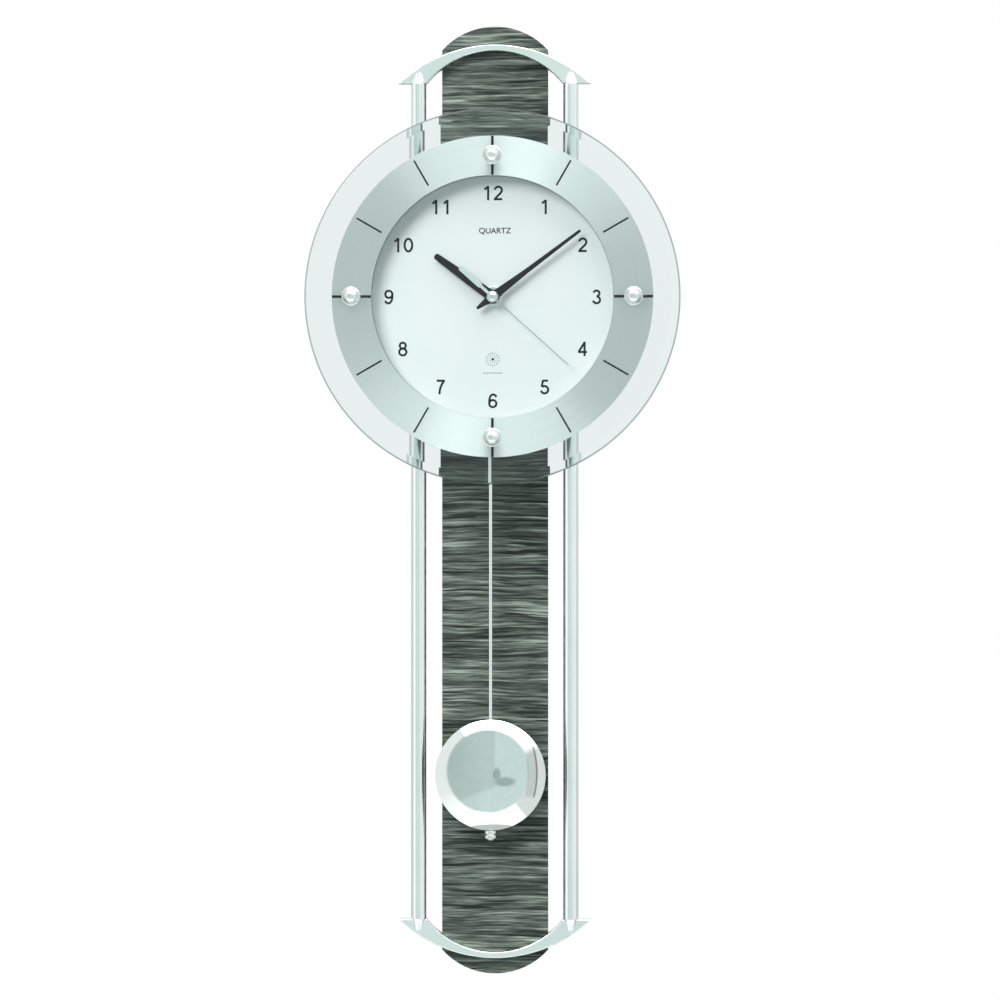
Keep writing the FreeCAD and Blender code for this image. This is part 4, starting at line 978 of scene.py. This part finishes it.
# ---- studio --------------------------------------------------------------------------------
def make_world():
    """White walls, a brightly lit ceiling, a dimmer floor, and in front a greyer zone with the
    camera's place, as in a light tent. What the eye sees past the clock is plain white."""
    world = bpy.data.worlds.new("studio")
    bpy.context.scene.world = world
    world.use_nodes = True
    tree = world.node_tree
    tree.nodes.clear()
    direction = add(tree, "ShaderNodeTexCoord").outputs["Generated"]
    right, back, up = add(tree, "ShaderNodeSeparateXYZ", {0: direction}).outputs

    def oval_zone(x, z, wide, high, soft):
        """1 inside an oval of directions, 0 outside."""
        offset = add(
            tree, "ShaderNodeVectorMath", {0: direction, 1: (x, 0, z)}, operation="SUBTRACT"
        ).outputs[0]
        share = add(
            tree,
            "ShaderNodeVectorMath",
            {0: offset, 1: (1 / wide, 0, 1 / high)},
            operation="MULTIPLY",
        ).outputs[0]
        reach = add(tree, "ShaderNodeVectorMath", {0: share}, operation="LENGTH").outputs["Value"]
        return add(
            tree,
            "ShaderNodeMapRange",
            {"Value": reach, "From Min": 1 + soft, "From Max": 1 - soft},
            interpolation_type="SMOOTHSTEP",
        ).outputs[0]

    # The lit ceiling and floor, by the direction round the line of sight: 0 and 1 are up or down.
    round_sight = add(
        tree, "ShaderNodeMath", {0: right, 1: up}, operation="ARCTAN2"
    ).outputs[0]
    half_turns = add(
        tree, "ShaderNodeMath", {0: round_sight, 1: math.pi}, operation="DIVIDE"
    ).outputs[0]
    half_turn = add(tree, "ShaderNodeMath", {0: half_turns}, operation="FRACT").outputs[0]
    fans = add(
        tree,
        "ShaderNodeValToRGB",
        {"Fac": half_turn},
        stops=[
            (0.0, 0.70), (0.05, 1.0), (0.115, 1.0), (0.13, 0.42), (0.22, 0.34), (0.30, 0.14),
            (0.36, 0.0), (0.79, 0.0), (0.80, 0.40), (0.88, 0.62), (1.0, 0.70),
        ],
    ).outputs["Color"]
    lamps = add(
        tree,
        "ShaderNodeMapRange",
        {"Value": up, "From Min": -0.15, "From Max": 0.15, "To Min": 1.2, "To Max": 7.2},
    ).outputs[0]
    sides = add(
        tree,
        "ShaderNodeMapRange",
        {"Value": right, "From Min": -0.5, "From Max": 0.5, "To Min": 1.15, "To Max": 1.0},
    ).outputs[0]
    walls = add(
        tree, "ShaderNodeMath", {0: fans, 1: lamps, 2: sides}, operation="MULTIPLY_ADD"
    ).outputs[0]
    behind = add(
        tree, "ShaderNodeMapRange", {"Value": back, "From Min": -0.40, "From Max": 0.05}
    ).outputs[0]
    wall_behind = add(
        tree,
        "ShaderNodeMapRange",
        {"Value": up, "From Min": -0.4, "From Max": 0.3, "To Min": 0.40, "To Max": 0.95},
    ).outputs[0]
    around = add(
        tree, "ShaderNodeMix", {0: behind, 2: walls, 3: wall_behind}, data_type="FLOAT"
    ).outputs[0]

    # The greyer zone in front: darker at the left, lighter at the right and below.
    tone = add(
        tree,
        "ShaderNodeMapRange",
        {"Value": right, "From Min": -0.75, "From Max": -0.1, "To Min": 0.69, "To Max": 0.81},
    ).outputs[0]
    lighter_right = add(
        tree,
        "ShaderNodeMapRange",
        {"Value": right, "From Min": 0.03, "From Max": 0.08, "To Min": 0.0, "To Max": 0.15},
        interpolation_type="SMOOTHSTEP",
    ).outputs[0]
    slant = add(
        tree, "ShaderNodeMath", {0: right, 1: -0.4, 2: up}, operation="MULTIPLY_ADD"
    ).outputs[0]
    lighter_low = add(
        tree,
        "ShaderNodeMapRange",
        {"Value": slant, "From Min": -0.22, "From Max": -0.34, "To Min": 0.0, "To Max": 0.15},
        interpolation_type="SMOOTHSTEP",
    ).outputs[0]
    lighter = add(
        tree, "ShaderNodeMath", {0: lighter_right, 1: lighter_low}, operation="MAXIMUM"
    ).outputs[0]
    tone = add(tree, "ShaderNodeMath", {0: tone, 1: lighter}, operation="ADD").outputs[0]
    lens = oval_zone(0.10, -0.03, 0.07, 0.12, 0.3)
    stand = oval_zone(0.24, -0.17, 0.19, 0.085, 0.35)
    dark_spots = add(tree, "ShaderNodeMath", {0: lens, 1: stand}, operation="MAXIMUM").outputs[0]
    tone = add(
        tree, "ShaderNodeMath", {0: dark_spots, 1: -0.36, 2: tone}, operation="MULTIPLY_ADD"
    ).outputs[0]
    on_camera_side = add(
        tree, "ShaderNodeMath", {0: back, 1: 0.0}, operation="LESS_THAN"
    ).outputs[0]
    front = oval_zone(-0.05, 0.02, 0.72, 0.725, 0.03)
    front = add(
        tree, "ShaderNodeMath", {0: front, 1: on_camera_side}, operation="MULTIPLY"
    ).outputs[0]
    tinted = add(
        tree, "ShaderNodeVectorMath", {0: (0.87, 1.0, 0.975), 3: tone}, operation="SCALE"
    ).outputs[0]
    lit = add(
        tree, "ShaderNodeMix", {0: front, 6: around, 7: tinted}, data_type="RGBA"
    ).outputs[2]

    # A cloth and its stand at the right: an upright grey band with a thin dark edge.
    aside = add(tree, "ShaderNodeMath", {0: right, 1: back}, operation="DIVIDE").outputs[0]
    halved = add(tree, "ShaderNodeMath", {0: aside, 1: -0.5}, operation="MULTIPLY").outputs[0]
    cloth = add(
        tree,
        "ShaderNodeValToRGB",
        {"Fac": halved},
        stops=[
            (0.40, 1.0), (0.42, 0.80), (0.58, 0.80), (0.59, 0.35), (0.62, 0.35), (0.64, 1.0),
        ],
    ).outputs["Color"]
    height = add(tree, "ShaderNodeMath", {0: up}, operation="ABSOLUTE").outputs[0]
    past_cloth = add(
        tree, "ShaderNodeMapRange", {"Value": height, "From Min": 0.40, "From Max": 0.46}
    ).outputs[0]
    cloth = add(
        tree,
        "ShaderNodeMix",
        {0: past_cloth, 6: cloth, 7: (1.0, 1.0, 1.0, 1.0)},
        data_type="RGBA",
    ).outputs[2]
    lit = add(tree, "ShaderNodeVectorMath", {0: lit, 1: cloth}, operation="MULTIPLY").outputs[0]

    # The key lamp gives matt surfaces most of their light, and the room an even, cool fill.
    path = add(tree, "ShaderNodeLightPath").outputs
    lit = add(
        tree,
        "ShaderNodeMix",
        {0: path["Is Diffuse Ray"], 6: lit, 7: (0.375, 0.415, 0.405, 1.0)},
        data_type="RGBA",
    ).outputs[2]
    plain = add(
        tree,
        "ShaderNodeMath",
        {0: path["Is Camera Ray"], 1: path["Is Transmission Ray"]},
        operation="MAXIMUM",
    ).outputs[0]
    seen = add(
        tree, "ShaderNodeMix", {0: plain, 6: lit, 7: (1.0, 1.0, 1.0, 1.0)}, data_type="RGBA"
    ).outputs[2]
    shader = add(tree, "ShaderNodeBackground", {"Color": seen, "Strength": 1.0}).outputs[0]
    add(tree, "ShaderNodeOutputWorld", {"Surface": shader})


def softbox(name, place, target, width, height, watts):
    """A rectangular lamp at place that faces target."""
    lamp = bpy.data.lights.new(name, "AREA")
    lamp.shape = "RECTANGLE"
    lamp.size, lamp.size_y = width, height
    lamp.energy = watts
    holder = placed(name, lamp)
    holder.location = place
    holder.rotation_euler = (Vector(target) - Vector(place)).to_track_quat("-Z", "Y").to_euler()
    # Its soft edges are left out of the chrome, which mirrors the room instead.
    holder.visible_glossy = False


def make_studio():
    """The room's light, a key lamp high at the left, and a pale floor well below the clock."""
    floor_radius, floor_z = 0.75, -1.70
    make_world()
    softbox("key", (-0.85, -1.45, 0.75), (0, 0, -0.2), width=0.8, height=0.8, watts=25)
    bm = bmesh.new()
    bmesh.ops.create_circle(bm, cap_ends=True, radius=floor_radius, segments=96)
    mesh = bpy.data.meshes.new("floor")
    bm.to_mesh(mesh)
    bm.free()
    mesh.transform(Matrix.Translation((0, 0, floor_z)))
    floor = placed("floor", mesh)
    floor.data.materials.append(
        grained("pale_floor", "#E6E6E4", "#EEEEEC", (0.7, 0.8), 8.0, 0.01)
    )


def make_camera():
    """A long lens, level with the board's middle and a little to the right."""
    camera = bpy.data.cameras.new("camera")
    camera.lens = 150.45
    camera.clip_end = 30
    holder = placed("camera", camera)
    eye, target = Vector((0.092, -3.012, -0.290)), Vector((0.00355, -0.012, -0.290))
    holder.location = eye
    holder.rotation_euler = (target - eye).to_track_quat("-Z", "Y").to_euler()
    bpy.context.scene.camera = holder
    bpy.context.scene.view_settings.view_transform = "Standard"


# ---- the whole clock -----------------------------------------------------------------------
make_glass()
make_ring()
make_dial()
make_caps()
make_printing()
make_small_print()
make_hands()
make_columns()
make_bob()
# Nodes that keep their own shape, and the width of their soft edges in mm.
soft_edged = {
    "back_board": 0.5, "veneer_facing": 0.15, "hanger_plate": 0.3, "wall_bumpers": 0.4,
    "top_yoke": 0.25, "bottom_yoke": 0.25, "dial_carrier": 0.3, "carrier_posts": 0.25,
    "glass_spacers": 0.15, "glass_washers": 0.1, "dial_nut": 0.2, "movement_rear_case": 0.35,
    "movement_front_case": 0.35, "battery": 0.25, "set_button": 0.2, "reset_button": 0.2,
    "pendulum_lever": 0.25, "pivot_pin": 0.15,
}
for node, width in soft_edged.items():
    refined(node, width * MM)
# What is left shows as it was packed, in the same materials.
for node, part in frame["nodes"].items():
    if not part.hide_render:
        part.data.materials.clear()
        part.data.materials.append(materials[slot_of_node[node]])
make_studio()
make_camera()
